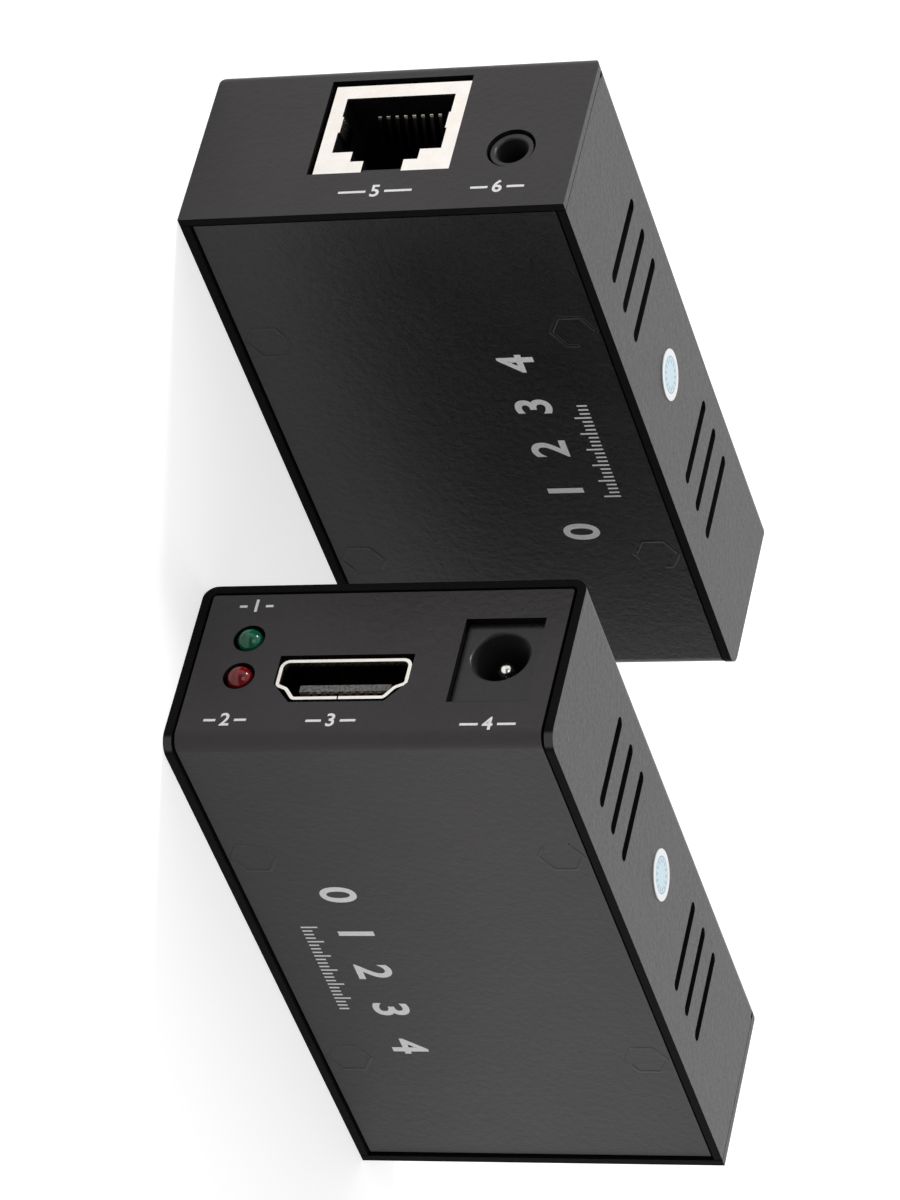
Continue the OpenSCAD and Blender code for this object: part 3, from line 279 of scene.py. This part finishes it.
def object_place(tree, scale=(1, 1, 1), location=(0, 0, 0)):
    """Coordinates in the piece's own frame, stretched by scale."""
    place = add_node(tree, "ShaderNodeTexCoord").outputs["Object"]
    mapping = add_node(tree, "ShaderNodeMapping", {"Vector": place})
    mapping.inputs["Scale"].default_value = scale
    mapping.inputs["Location"].default_value = location
    return mapping.outputs["Vector"]


def coordinate(tree, axis):
    """Coordinate along one axis of the shared frame, which is each node's own frame too."""
    place = add_node(tree, "ShaderNodeTexCoord").outputs["Object"]
    return add_node(tree, "ShaderNodeSeparateXYZ", {"Vector": place}).outputs[axis]


def kind_of_ray(tree, kind):
    """1 for a ray of the kind, such as Is Camera Ray, and 0 for any other."""
    return add_node(tree, "ShaderNodeLightPath").outputs[kind]


def noise(tree, place, size, detail=3.0, roughness=0.55):
    """Noise whose features are about size across."""
    return add_node(
        tree,
        "ShaderNodeTexNoise",
        {"Vector": place, "Scale": 1 / size, "Detail": detail, "Roughness": roughness},
    ).outputs["Fac"]


def cells(tree, place, size):
    return add_node(
        tree, "ShaderNodeTexVoronoi", {"Vector": place, "Scale": 1 / size}, feature="SMOOTH_F1"
    ).outputs["Distance"]


def span(tree, factor, low, high, from_low=0.3, from_high=0.7):
    """Factor remapped to run between low and high."""
    return add_node(
        tree,
        "ShaderNodeMapRange",
        {
            "Value": factor,
            "From Min": from_low,
            "From Max": from_high,
            "To Min": low,
            "To Max": high,
        },
    ).outputs["Result"]


def rise(tree, value, start, end):
    """0 as far as start, 1 beyond end, and a straight run between them."""
    return span(tree, value, 0.0, 1.0, start, end)


def switch(tree, factor, off, on):
    """Off where the factor is 0 and on where it is 1."""
    return span(tree, factor, off, on, 0, 1)


def blend_colours(tree, factor, low, high, from_low=0.3, from_high=0.7):
    ramp = add_node(tree, "ShaderNodeValToRGB", {"Fac": factor})
    ramp.color_ramp.elements[0].position = from_low
    ramp.color_ramp.elements[0].color = low
    ramp.color_ramp.elements[1].position = from_high
    ramp.color_ramp.elements[1].color = high
    return ramp.outputs["Color"]


def band_colours(tree, factor, inside, band, outside, start, end):
    """Three flat colours, of which the band lies between start and end."""
    ramp = add_node(tree, "ShaderNodeValToRGB", {"Fac": factor})
    stops = ramp.color_ramp
    stops.interpolation = "CONSTANT"
    stops.elements[0].color = inside
    stops.elements[1].position = start
    stops.elements[1].color = band
    last = stops.elements.new(end)
    last.color = outside
    return ramp.outputs["Color"]


def mix_colours(tree, factor, first, second):
    """Colour that runs from first to second; first is a socket."""
    mixed = add_node(tree, "ShaderNodeMix", {"Factor": factor}, data_type="RGBA")
    tree.links.new(first, mixed.inputs[COLOUR_A])
    mixed.inputs[COLOUR_B].default_value = second
    return mixed.outputs[COLOUR_RESULT]


def mix_values(tree, factor, first, second):
    return add_node(
        tree, "ShaderNodeMix", {"Factor": factor, "A": first, "B": second}
    ).outputs["Result"]


def bump(tree, height, depth, strength):
    return add_node(
        tree, "ShaderNodeBump", {"Height": height, "Distance": depth, "Strength": strength}
    ).outputs["Normal"]


def connect(tree, shader, colour, roughness, normal):
    tree.links.new(colour, shader.inputs["Base Color"])
    tree.links.new(roughness, shader.inputs["Roughness"])
    tree.links.new(normal, shader.inputs["Normal"])


# Paint on sheet metal


def facing(tree, direction):
    """How squarely the surface faces a direction."""
    normal = add_node(tree, "ShaderNodeNewGeometry").outputs["Normal"]
    return dot_product(tree, normal, direction)


def powder_coat(name, cut=None):
    """Black powder coat with a fine leathery grain.

    The last argument gives, from the tree, a factor that is 1 on cut edges, which get painted
    shade: a darker colour and a dimmer reflection, and a rougher finish.
    """
    material, tree, shader = new_material(name)
    place = object_place(tree)
    grain = noise(tree, place, PAINT_GRAIN, detail=5, roughness=0.65)
    wrinkle = cells(tree, place, PAINT_WRINKLE)
    height = calculate(tree, "MULTIPLY_ADD", wrinkle, PAINT_WRINKLE_WEIGHT, grain)
    clouds = noise(tree, place, PAINT_CLOUDS, detail=5)
    colour = blend_colours(tree, clouds, PAINT_DARK, PAINT_LIGHT)
    roughness = span(tree, grain, *PAINT_ROUGHNESS)
    shader.inputs["IOR"].default_value = PAINT_IOR
    shader.inputs["Specular Tint"].default_value = PAINT_GLOSS
    # Painted shade on the cut edges: a darker colour and a dimmer specular tint, with rougher paint
    if cut:
        edge = cut(tree)
        colour = mix_colours(tree, edge, colour, CUT_EDGE_SHADE)
        roughness = mix_values(tree, edge, roughness, CUT_ROUGHNESS)
        tint = blend_colours(tree, edge, PAINT_GLOSS, CUT_SHADE_GLOSS, 0, 1)
        tree.links.new(tint, shader.inputs["Specular Tint"])
    connect(
        tree,
        shader,
        colour=colour,
        roughness=roughness,
        normal=bump(tree, height, PAINT_RELIEF, PAINT_RELIEF_SHARE),
    )
    return material


def wall_paint(unit):
    """Paint of a shell, with painted shade on its cut ends, which face away from its top plate and
    out at the video end.
    """
    outward = unit_frame(unit).to_3x3() @ Vector((-1, 0, 0))

    def cut(tree):
        below = rise(tree, facing(tree, (0, -1, 0)), *SQUARE_COSINES)
        ahead = rise(tree, facing(tree, outward), *SQUARE_COSINES)
        return calculate(tree, "MAXIMUM", below, ahead)

    return powder_coat("wall_paint_" + unit, cut)


def panel_paint(unit):
    """Paint of a base, with painted shade on its cut edges, which face sideways, or up and down
    above the plate's bend.
    """
    node = unit + "_base"
    bend_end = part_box(node)[0].y + PLATE_BEND

    def cut(tree):
        sideways = calculate(tree, "ABSOLUTE", facing(tree, (0, 0, 1)))
        upright = calculate(tree, "ABSOLUTE", facing(tree, (0, 1, 0)))
        above = rise(tree, coordinate(tree, "Y"), bend_end, bend_end + PLATE_BEND_FADE)
        ends = calculate(tree, "MULTIPLY", rise(tree, upright, *SQUARE_COSINES), above)
        return calculate(tree, "MAXIMUM", rise(tree, sideways, *SQUARE_COSINES), ends)

    return powder_coat("panel_paint_" + node, cut)


# Metals


def plated_metal(name, dark, light, roughness, stretch=(1, 1, 1), painted_shade=None):
    """Plated or drawn metal: faint grain in one direction and a patchy sheen.

    The last argument gives, from the tree, a factor that is 1 where the colour turns dark as
    painted shade.
    """
    grain = 0.12 * MM
    patch = 1.6 * MM
    relief = 0.004 * MM
    smoothest_share = 0.75
    roughest_share = 1.3
    material, tree, shader = new_material(name)
    shader.inputs["Metallic"].default_value = 1.0
    lines = noise(tree, object_place(tree, scale=stretch), grain, detail=4)
    patches = noise(tree, object_place(tree), patch, detail=4)
    colour = blend_colours(tree, patches, dark, light)
    # Painted shade: the colour turns dark where the factor is 1
    if painted_shade:
        colour = mix_colours(tree, painted_shade(tree), colour, DEPTH_SHADE_METAL)
    connect(
        tree,
        shader,
        colour=colour,
        roughness=span(tree, lines, roughness * smoothest_share, roughness * roughest_share),
        normal=bump(tree, lines, relief, strength=0.6),
    )
    return material


def behind_rim(unit, kind, near, far):
    """Factor that runs from 0 to 1 between two depths behind the outer end of a port."""
    low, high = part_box(f"{unit}_{kind}")
    shell_low, shell_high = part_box(unit + "_shell")
    middle = (shell_low.x + shell_high.x) / 2
    rim, inward = (low.x, 1) if low.x < middle else (high.x, -1)

    def factor(tree):
        return rise(tree, coordinate(tree, "X"), rim + inward * near, rim + inward * far)

    return factor


def mouth_nickel(unit, kind):
    """Nickel of a port's mouth, bright on the rim and darkened inside as painted shade."""
    name = f"port_nickel_{unit}_{kind}"
    inside = behind_rim(unit, kind, NICKEL_RIM, NICKEL_DEPTHS[kind])
    return plated_metal(name, *NICKEL, roughness=0.24, stretch=(1, 0.2, 1), painted_shade=inside)


def wire_gold(unit, kind):
    """Gold of the network port's wires, darkened below their roots as painted shade."""
    node = f"{unit}_{kind}"
    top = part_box(node)[1].y
    near, far = WIRE_DEPTHS

    def below(tree):
        return span(tree, coordinate(tree, "Y"), 1.0, 0.0, top - far, top - near)

    return plated_metal("contact_gold_" + node, *PALE_GOLD, roughness=0.22, painted_shade=below)


def screw_black():
    """Black oxide on steel."""
    patch = 0.7 * MM
    grain = 0.1 * MM
    relief = 0.006 * MM
    material, tree, shader = new_material("screw_black")
    place = object_place(tree)
    shader.inputs["Metallic"].default_value = 0.6
    patches = noise(tree, place, patch, detail=5)
    connect(
        tree,
        shader,
        colour=blend_colours(tree, patches, *BLACK_OXIDE),
        roughness=span(tree, patches, low=0.28, high=0.45),
        normal=bump(tree, noise(tree, place, grain), relief, strength=0.5),
    )
    return material


# Plastics, board and paper


def moulded(
    name, dark, light, roughness, grain=0.16 * MM, relief=0.008 * MM, patch=3 * MM, painted_shade=None
):
    """Moulded plastic, epoxy or ferrite: an even colour with a faint sparked grain.

    The last argument gives, from the tree, a factor that is 1 where the colour turns dark as
    painted shade and the surface rough.
    """
    smoother = 0.06
    rougher = 0.08
    material, tree, shader = new_material(name)
    place = object_place(tree)
    sparks = noise(tree, place, grain, detail=4)
    patches = noise(tree, place, patch, detail=4)
    colour = blend_colours(tree, patches, dark, light)
    rough = span(tree, sparks, roughness - smoother, roughness + rougher)
    # Painted shade: the colour turns dark and the surface rough where the factor is 1
    if painted_shade:
        inside = painted_shade(tree)
        colour = mix_colours(tree, inside, colour, DEPTH_SHADE_PLASTIC)
        rough = mix_values(tree, inside, rough, DULL_ROUGHNESS)
    connect(
        tree,
        shader,
        colour=colour,
        roughness=rough,
        normal=bump(tree, sparks, relief, strength=0.6),
    )
    return material


def bore_plastic(unit, kind):
    """Plastic of a jack, darkened in its bore as painted shade, and rough there."""
    name = f"jack_black_{unit}_{kind}"
    inside = behind_rim(unit, kind, *BORE_DEPTHS)
    return moulded(name, *JACK_BLACK, roughness=0.32, painted_shade=inside)


def tongue_plastic():
    """Paler plastic of the video port's tongue, with a coarse stipple."""
    return moulded(
        "tongue_plastic",
        *TONGUE_GREY,
        roughness=0.5,
        grain=0.3 * MM,
        relief=0.05 * MM,
        patch=0.28 * MM,
    )


def board_green():
    """Solder mask over copper: raised traces in two directions and a woven ground."""
    weave_size = 0.5 * MM
    weave_stretch = (1, 1, 0.25)
    weave_share = 0.2
    trace_pitch = 2.4 * MM
    patch = 1.2 * MM
    relief = 0.02 * MM
    material, tree, shader = new_material("board_green")
    place = object_place(tree)
    weave = noise(tree, object_place(tree, scale=weave_stretch), weave_size)
    traces = add_node(
        tree,
        "ShaderNodeTexBrick",
        {"Vector": place, "Scale": 1 / trace_pitch, "Mortar Size": 0.04, "Mortar Smooth": 0.2},
    ).outputs["Fac"]
    height = calculate(tree, "MULTIPLY_ADD", weave, weave_share, traces)
    connect(
        tree,
        shader,
        colour=blend_colours(tree, traces, *SOLDER_MASK, 0, 1),
        roughness=span(tree, noise(tree, place, patch), low=0.18, high=0.3),
        normal=bump(tree, height, relief, strength=0.6),
    )
    return material


def tinted_epoxy(name, dark, light):
    """Tinted epoxy of a lamp's lens, glossy and slightly wavy."""
    patch = 1.1 * MM
    wave = 0.4 * MM
    relief = 0.003 * MM
    material, tree, shader = new_material(name)
    place = object_place(tree)
    shader.inputs["IOR"].default_value = 1.35
    shader.inputs["Coat Weight"].default_value = 0.5
    shader.inputs["Coat Roughness"].default_value = 0.04
    shader.inputs["Coat IOR"].default_value = 1.42
    haze = noise(tree, place, patch)
    connect(
        tree,
        shader,
        colour=blend_colours(tree, haze, dark, light),
        roughness=span(tree, haze, low=0.1, high=0.2),
        normal=bump(tree, noise(tree, place, wave), relief, strength=0.4),
    )
    return material


def label_paper(unit):
    """Coated paper with a white rim, a thin ring, dial ticks and a pale blue middle."""
    fibre = 0.25 * MM
    relief = 0.01 * MM
    material, tree, shader = new_material("label_paper_" + unit)
    low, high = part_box(unit + "_label")
    radius = (high.x - low.x) / 2
    middle = (low + high) / (2 * radius)
    flat = object_place(tree, (1 / radius, 1 / radius, 0), (-middle.x, -middle.y, 0))
    away = add_node(tree, "ShaderNodeVectorMath", {0: flat}, operation="LENGTH").outputs["Value"]
    parts = add_node(tree, "ShaderNodeSeparateXYZ", {"Vector": flat}).outputs
    angle = calculate(tree, "ARCTAN2", parts["Y"], parts["X"])
    tick = calculate(tree, "SINE", calculate(tree, "MULTIPLY", angle, LABEL_TICK_COUNT))
    rings = band_colours(tree, away, LABEL_MIDDLE, LABEL_RING, LABEL_WHITE, *LABEL_RING_SHARES)
    black = (0, 0, 0, 1)
    white = (1, 1, 1, 1)
    dial = band_colours(tree, away, black, white, black, *LABEL_TICK_SHARES)
    ticks = calculate(tree, "MULTIPLY", tick, dial)
    ink = span(tree, ticks, low=0.0, high=0.8, from_low=0.2, from_high=0.5)
    fibres = noise(tree, object_place(tree), fibre, detail=4)
    connect(
        tree,
        shader,
        colour=mix_colours(tree, ink, rings, LABEL_RING),
        roughness=span(tree, fibres, low=0.35, high=0.5),
        normal=bump(tree, fibres, relief, strength=0.5),
    )
    return material


def print_ink():
    """White screen-print ink with a slightly uneven coat."""
    patch = 0.3 * MM
    relief = 0.01 * MM
    material, tree, shader = new_material("print_ink")
    coat = noise(tree, object_place(tree), patch, detail=4)
    connect(
        tree,
        shader,
        colour=blend_colours(tree, coat, *INK_WHITE),
        roughness=span(tree, coat, low=0.4, high=0.6),
        normal=bump(tree, coat, relief, strength=0.5),
    )
    return material


# Materials that several nodes share, by the record's slot
SLOT_MATERIALS = {
    "case_paint": powder_coat("case_paint"),
    "standoff_paint": powder_coat("standoff_paint"),
    "screw_black": screw_black(),
    "spacer_brass": plated_metal("spacer_brass", *BRASS, roughness=0.3),
    "board_green": board_green(),
    "contact_gold": plated_metal("contact_gold", *GOLD, roughness=0.22),
    "contact_tin": plated_metal("contact_tin", *TIN, roughness=0.2),
    "can_aluminium": plated_metal("can_aluminium", *ALUMINIUM, roughness=0.32),
    "jack_black": moulded("jack_black", *JACK_BLACK, roughness=0.32),
    "chip_black": moulded("chip_black", *CHIP_BLACK, roughness=0.5),
    "chip_ceramic": moulded("chip_ceramic", *CERAMIC, roughness=0.45),
    "ferrite_grey": moulded("ferrite_grey", *FERRITE, roughness=0.6, relief=0.02 * MM),
    "lens_green": tinted_epoxy("lens_green", *LENS_GREEN),
    "lens_red": tinted_epoxy("lens_red", *LENS_RED),
}
INK = print_ink()
TONGUE = tongue_plastic()


def node_material(unit, kind, slot):
    if kind == "label":
        return label_paper(unit)
    if kind == "shell":
        return wall_paint(unit)
    if kind == "base":
        return panel_paint(unit)
    if kind in NICKEL_DEPTHS:
        return mouth_nickel(unit, kind)
    if kind == "rj45_contacts":
        return wire_gold(unit, kind)
    if kind in ("dc_housing", "ir_jack"):
        return bore_plastic(unit, kind)
    if kind == "hdmi_insulator":
        return TONGUE
    return SLOT_MATERIALS[slot]


def finish_node(node, slot):
    """Material and softened edges of a CAD node."""
    obj = nodes[node]
    unit, kind = node.split("_", 1)
    material = node_material(unit, kind, slot)
    for place in obj.material_slots:
        place.material = material
    merge = obj.modifiers.new("merge", "DECIMATE")
    merge.decimate_type = "DISSOLVE"
    merge.angle_limit = MERGE_ANGLE
    edge = obj.modifiers.new("edges", "BEVEL")
    edge.width = EDGE_RADII.get(kind, EDGE_RADIUS)
    edge.segments = 1 if kind in CHAMFERED_KINDS else EDGE_STEPS
    edge.limit_method = "ANGLE"
    edge.angle_limit = EDGE_ANGLE


# Pieces of mesh


def new_piece(name, mesh, material):
    obj = bpy.data.objects.new(name, mesh)
    bpy.context.scene.collection.objects.link(obj)
    mesh.materials.clear()
    mesh.materials.append(material)
    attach(obj, "pair")


def hexagon_reach(angle, flats):
    """Distance from the middle of a hexagon with slightly rounded corners to its outline."""
    total = sum(
        max(0.0, math.cos(angle - side * math.pi / 3)) ** HEXAGON_SHARPNESS for side in range(6)
    )
    return flats / 2 * total ** (-1 / HEXAGON_SHARPNESS)


def crease_ring(mesh, centre, angle, height):
    """One cross-section of a crease, at an angle round the head that it follows."""
    ring = []
    for across, up in CREASE_PROFILE_SHARES:
        reach = hexagon_reach(angle, STANDOFF_FLATS) + across * CREASE_HALF
        offset = Vector((reach * math.cos(angle), -up * height, reach * math.sin(angle)))
        ring.append(mesh.verts.new(centre + offset))
    return ring


def crease(unit, index, centre):
    """Ridge where the paint bridges the seam round a standoff's head, cracked on one side.

    centre is in the unit's own frame, on the base plate's outside.
    """
    start = CREASE_FIRST_GAP + index * CREASE_GAP_STEP + CREASE_GAP_HALF
    turn = 2 * math.pi - 2 * CREASE_GAP_HALF
    mesh = bmesh.new()
    rings = []
    for step in range(CREASE_STEPS + 1):
        share = step / CREASE_STEPS
        angle = start + share * turn
        wave = math.sin(CREASE_SWELL_WAVES * angle + CREASE_SWELL_SHIFT * index)
        swell = 1 - CREASE_SWELL_SHARE + CREASE_SWELL_SHARE * wave
        fade = min(1.0, CREASE_FADES * share, CREASE_FADES * (1 - share))
        rings.append(crease_ring(mesh, centre, angle, CREASE_HEIGHT * swell * fade))
    for first, second in zip(rings, rings[1:]):
        for i in range(len(first)):
            after = (i + 1) % len(first)
            mesh.faces.new((first[i], first[after], second[after], second[i]))
    mesh.faces.new(rings[0])
    mesh.faces.new(list(reversed(rings[-1])))
    mesh.transform(unit_frame(unit))
    bmesh.ops.recalc_face_normals(mesh, faces=mesh.faces)
    data = bpy.data.meshes.new(f"{unit}_standoff_crease_{index}")
    mesh.to_mesh(data)
    mesh.free()
    for face in data.polygons:
        face.use_smooth = True
    new_piece(data.name, data, SLOT_MATERIALS["case_paint"])


def standoff_creases(unit):
    """The four outlines that show through the paint of a unit's base plate."""
    face_y = own_box(unit, "base")[0].y
    low, high = own_box(unit, "standoffs")
    half = STANDOFF_FLATS / 2
    tip = half / math.cos(math.pi / 6)
    places = [(x, z) for x in (low.x + half, high.x - half) for z in (low.z + tip, high.z - tip)]
    for index, (x, z) in enumerate(places):
        crease(unit, index, Vector((x, face_y, z)))


def digits_mesh(text, height, weight):
    """Plain numerals as a thin solid, middle at the origin."""
    curve = bpy.data.curves.new("digits", "FONT")
    curve.body = text
    curve.align_x = "CENTER"
    curve.align_y = "CENTER"
    curve.size = height * FONT_SIZE_SHARE
    curve.extrude = INK_THICKNESS / 2
    curve.offset = weight
    curve.resolution_u = FONT_STEPS
    holder = bpy.data.objects.new("digits", curve)
    bpy.context.scene.collection.objects.link(holder)
    bpy.context.view_layer.update()
    shaped = holder.evaluated_get(bpy.context.evaluated_depsgraph_get())
    mesh = bpy.data.meshes.new_from_object(shaped)
    bpy.data.objects.remove(holder)
    bpy.data.curves.remove(curve)
    return mesh


def bar_mesh(bars):
    """Thin printed bars, each given as (left, low, right, high)."""
    mesh = bmesh.new()
    for left, low, right, high in bars:
        verts = [
            mesh.verts.new((x, y, z))
            for z in (-INK_THICKNESS / 2, INK_THICKNESS / 2)
            for x, y in ((left, low), (right, low), (right, high), (left, high))
        ]
        for face in BOX_FACES:
            mesh.faces.new([verts[i] for i in face])
    data = bpy.data.meshes.new("bars")
    mesh.to_mesh(data)
    mesh.free()
    return data


def lay_print(name, unit, mesh, origin, right, up):
    """A print on a face of the unit, with its axes x and y along right and up.

    The origin and the directions are in the unit's own frame.
    """
    out = right.cross(up)
    place = Matrix.Translation(origin + out * (INK_THICKNESS / 2 - INK_SINK))
    turn = Matrix((right, up, out)).transposed().to_4x4()
    mesh.name = name
    mesh.transform(unit_frame(unit) @ place @ turn)
    new_piece(name, mesh, INK)


def port_number(unit, digit, origin, right, width):
    """A port's number between two short bars."""
    name = f"{unit}_number_{digit}"
    up = Vector((0, 1, 0))
    bars = [
        (-width / 2, -BAR_HALF, -BAR_GAP_HALF, BAR_HALF),
        (BAR_GAP_HALF, -BAR_HALF, width / 2, BAR_HALF),
    ]
    lay_print(name, unit, digits_mesh(digit, NUMBER_HEIGHT, NUMBER_WEIGHT), origin, right, up)
    lay_print(name + "_bars", unit, bar_mesh(bars), origin, right, up)


def port_numbers(unit):
    """Plain numbers beside the ports at both ends."""
    across = Vector((0, 0, 1))
    length = own_box(unit, "shell")[1].x
    for numbers, end_x, right in ((VIDEO_NUMBERS, 0, across), (NETWORK_NUMBERS, length, -across)):
        for digit, kind, side, gap, shift, width in numbers:
            box = own_box(unit, kind)
            y = box[side].y + (gap if side else -gap)
            z = (box[0].z + box[1].z) / 2 + shift
            port_number(unit, digit, Vector((end_x, y, z)), right, width)


def plate_scale(unit):
    """A plain scale on the base plate: large numerals and a short ruled line below them."""
    right = Vector((1, 0, 0))
    up = Vector((0, 0, 1))
    start = Vector((SCALE_STARTS[unit], own_box(unit, "base")[0].y, 0))
    for count in range(NUMERAL_COUNT):
        mesh = digits_mesh(str(count), NUMERAL_HEIGHT, NUMERAL_WEIGHT)
        place = start + right * (NUMERAL_FIRST + NUMERAL_PITCH * count) + up * NUMERAL_RISE
        lay_print(f"{unit}_scale_{count}", unit, mesh, place, right, up)
    lines = []
    for count in range(RULE_COUNT):
        left = count * RULE_PITCH
        height = RULE_SHORT if count % RULE_LONG_EVERY else RULE_LONG
        lines.append((left, 0.0, left + RULE_WIDTH, height))
    place = start + right * RULE_FIRST + up * RULE_RISE
    lay_print(unit + "_scale_ticks", unit, bar_mesh(lines), place, right, up)


# Studio


def add_camera():
    data = bpy.data.cameras.new("camera")
    data.sensor_fit = "AUTO"
    data.sensor_width = CAMERA_SENSOR
    data.lens = CAMERA_LENS
    data.clip_start = CAMERA_NEAREST
    obj = bpy.data.objects.new("camera", data)
    bpy.context.scene.collection.objects.link(obj)
    back = (CAMERA_PLACE - CAMERA_AIM).normalized()
    right = CAMERA_UP.cross(back).normalized()
    up = back.cross(right)
    turn = Matrix((right, up, back)).transposed().to_4x4()
    obj.matrix_world = Matrix.Translation(CAMERA_PLACE) @ turn
    bpy.context.scene.camera = obj


def add_world():
    """White behind the object, and a studio with one dark side for all other rays."""
    world = bpy.data.worlds.new("surroundings")
    world.use_nodes = True
    tree = world.node_tree
    level = switch(tree, kind_of_ray(tree, "Is Glossy Ray"), WORLD_LEVEL, MIRRORED_LEVEL)
    direction = add_node(tree, "ShaderNodeTexCoord").outputs["Generated"]
    shade = span(tree, dot_product(tree, direction, DARK_SIDE), 1.0, DARK_LEVEL, *DARK_COSINES)
    lit = calculate(tree, "MULTIPLY", level, shade)
    strength = calculate(tree, "MAXIMUM", lit, kind_of_ray(tree, "Is Camera Ray"))
    background = tree.nodes["Background"]
    background.inputs["Color"].default_value = (1, 1, 1, 1)
    tree.links.new(strength, background.inputs["Strength"])
    bpy.context.scene.world = world


def add_floor():
    """Pale floor, lifted where the camera or a mirroring surface sees it."""
    mesh = bpy.data.meshes.new("floor")
    half = FLOOR_HALF
    corners = [(-half, -half, 0), (half, -half, 0), (half, half, 0), (-half, half, 0)]
    mesh.from_pydata(corners, [], [(0, 1, 2, 3)])
    obj = bpy.data.objects.new("floor", mesh)
    bpy.context.scene.collection.objects.link(obj)
    material = bpy.data.materials.new("floor")
    material.use_nodes = True
    tree = material.node_tree
    tree.nodes.remove(tree.nodes["Principled BSDF"])
    matt = add_node(tree, "ShaderNodeBsdfDiffuse", {"Color": FLOOR_COLOUR})
    mirrored = switch(tree, kind_of_ray(tree, "Is Glossy Ray"), 0.0, FLOOR_LIFT_MIRRORED)
    seen = switch(tree, kind_of_ray(tree, "Is Camera Ray"), 0.0, FLOOR_LIFT_SEEN)
    lift = calculate(tree, "MAXIMUM", mirrored, seen)
    glow = add_node(tree, "ShaderNodeEmission", {"Strength": lift})
    both = add_node(tree, "ShaderNodeAddShader", {0: matt.outputs[0], 1: glow.outputs[0]})
    tree.links.new(both.outputs[0], tree.nodes["Material Output"].inputs["Surface"])
    mesh.materials.append(material)


def add_lamp(name, place, size, power):
    """Square lamp that points at the middle of the floor."""
    data = bpy.data.lights.new(name, "AREA")
    data.shape = "SQUARE"
    data.size = size
    data.energy = power
    obj = bpy.data.objects.new(name, data)
    bpy.context.scene.collection.objects.link(obj)
    obj.location = place
    obj.rotation_euler = (-Vector(place)).to_track_quat("-Z", "Y").to_euler()


add_camera()
add_world()
add_floor()
add_lamp("key", place=(-0.75, -0.35, 0.8), size=0.6, power=2.0)
add_lamp("rim", place=(-0.41, 0.68, 0.83), size=0.12, power=4.0)

for part in frame["record"]["subparts"]:
    finish_node(part["node"], part["material_slot"])

for unit in UNITS:
    standoff_creases(unit)
    port_numbers(unit)
    plate_scale(unit)

bpy.context.scene.view_settings.view_transform = "Standard"
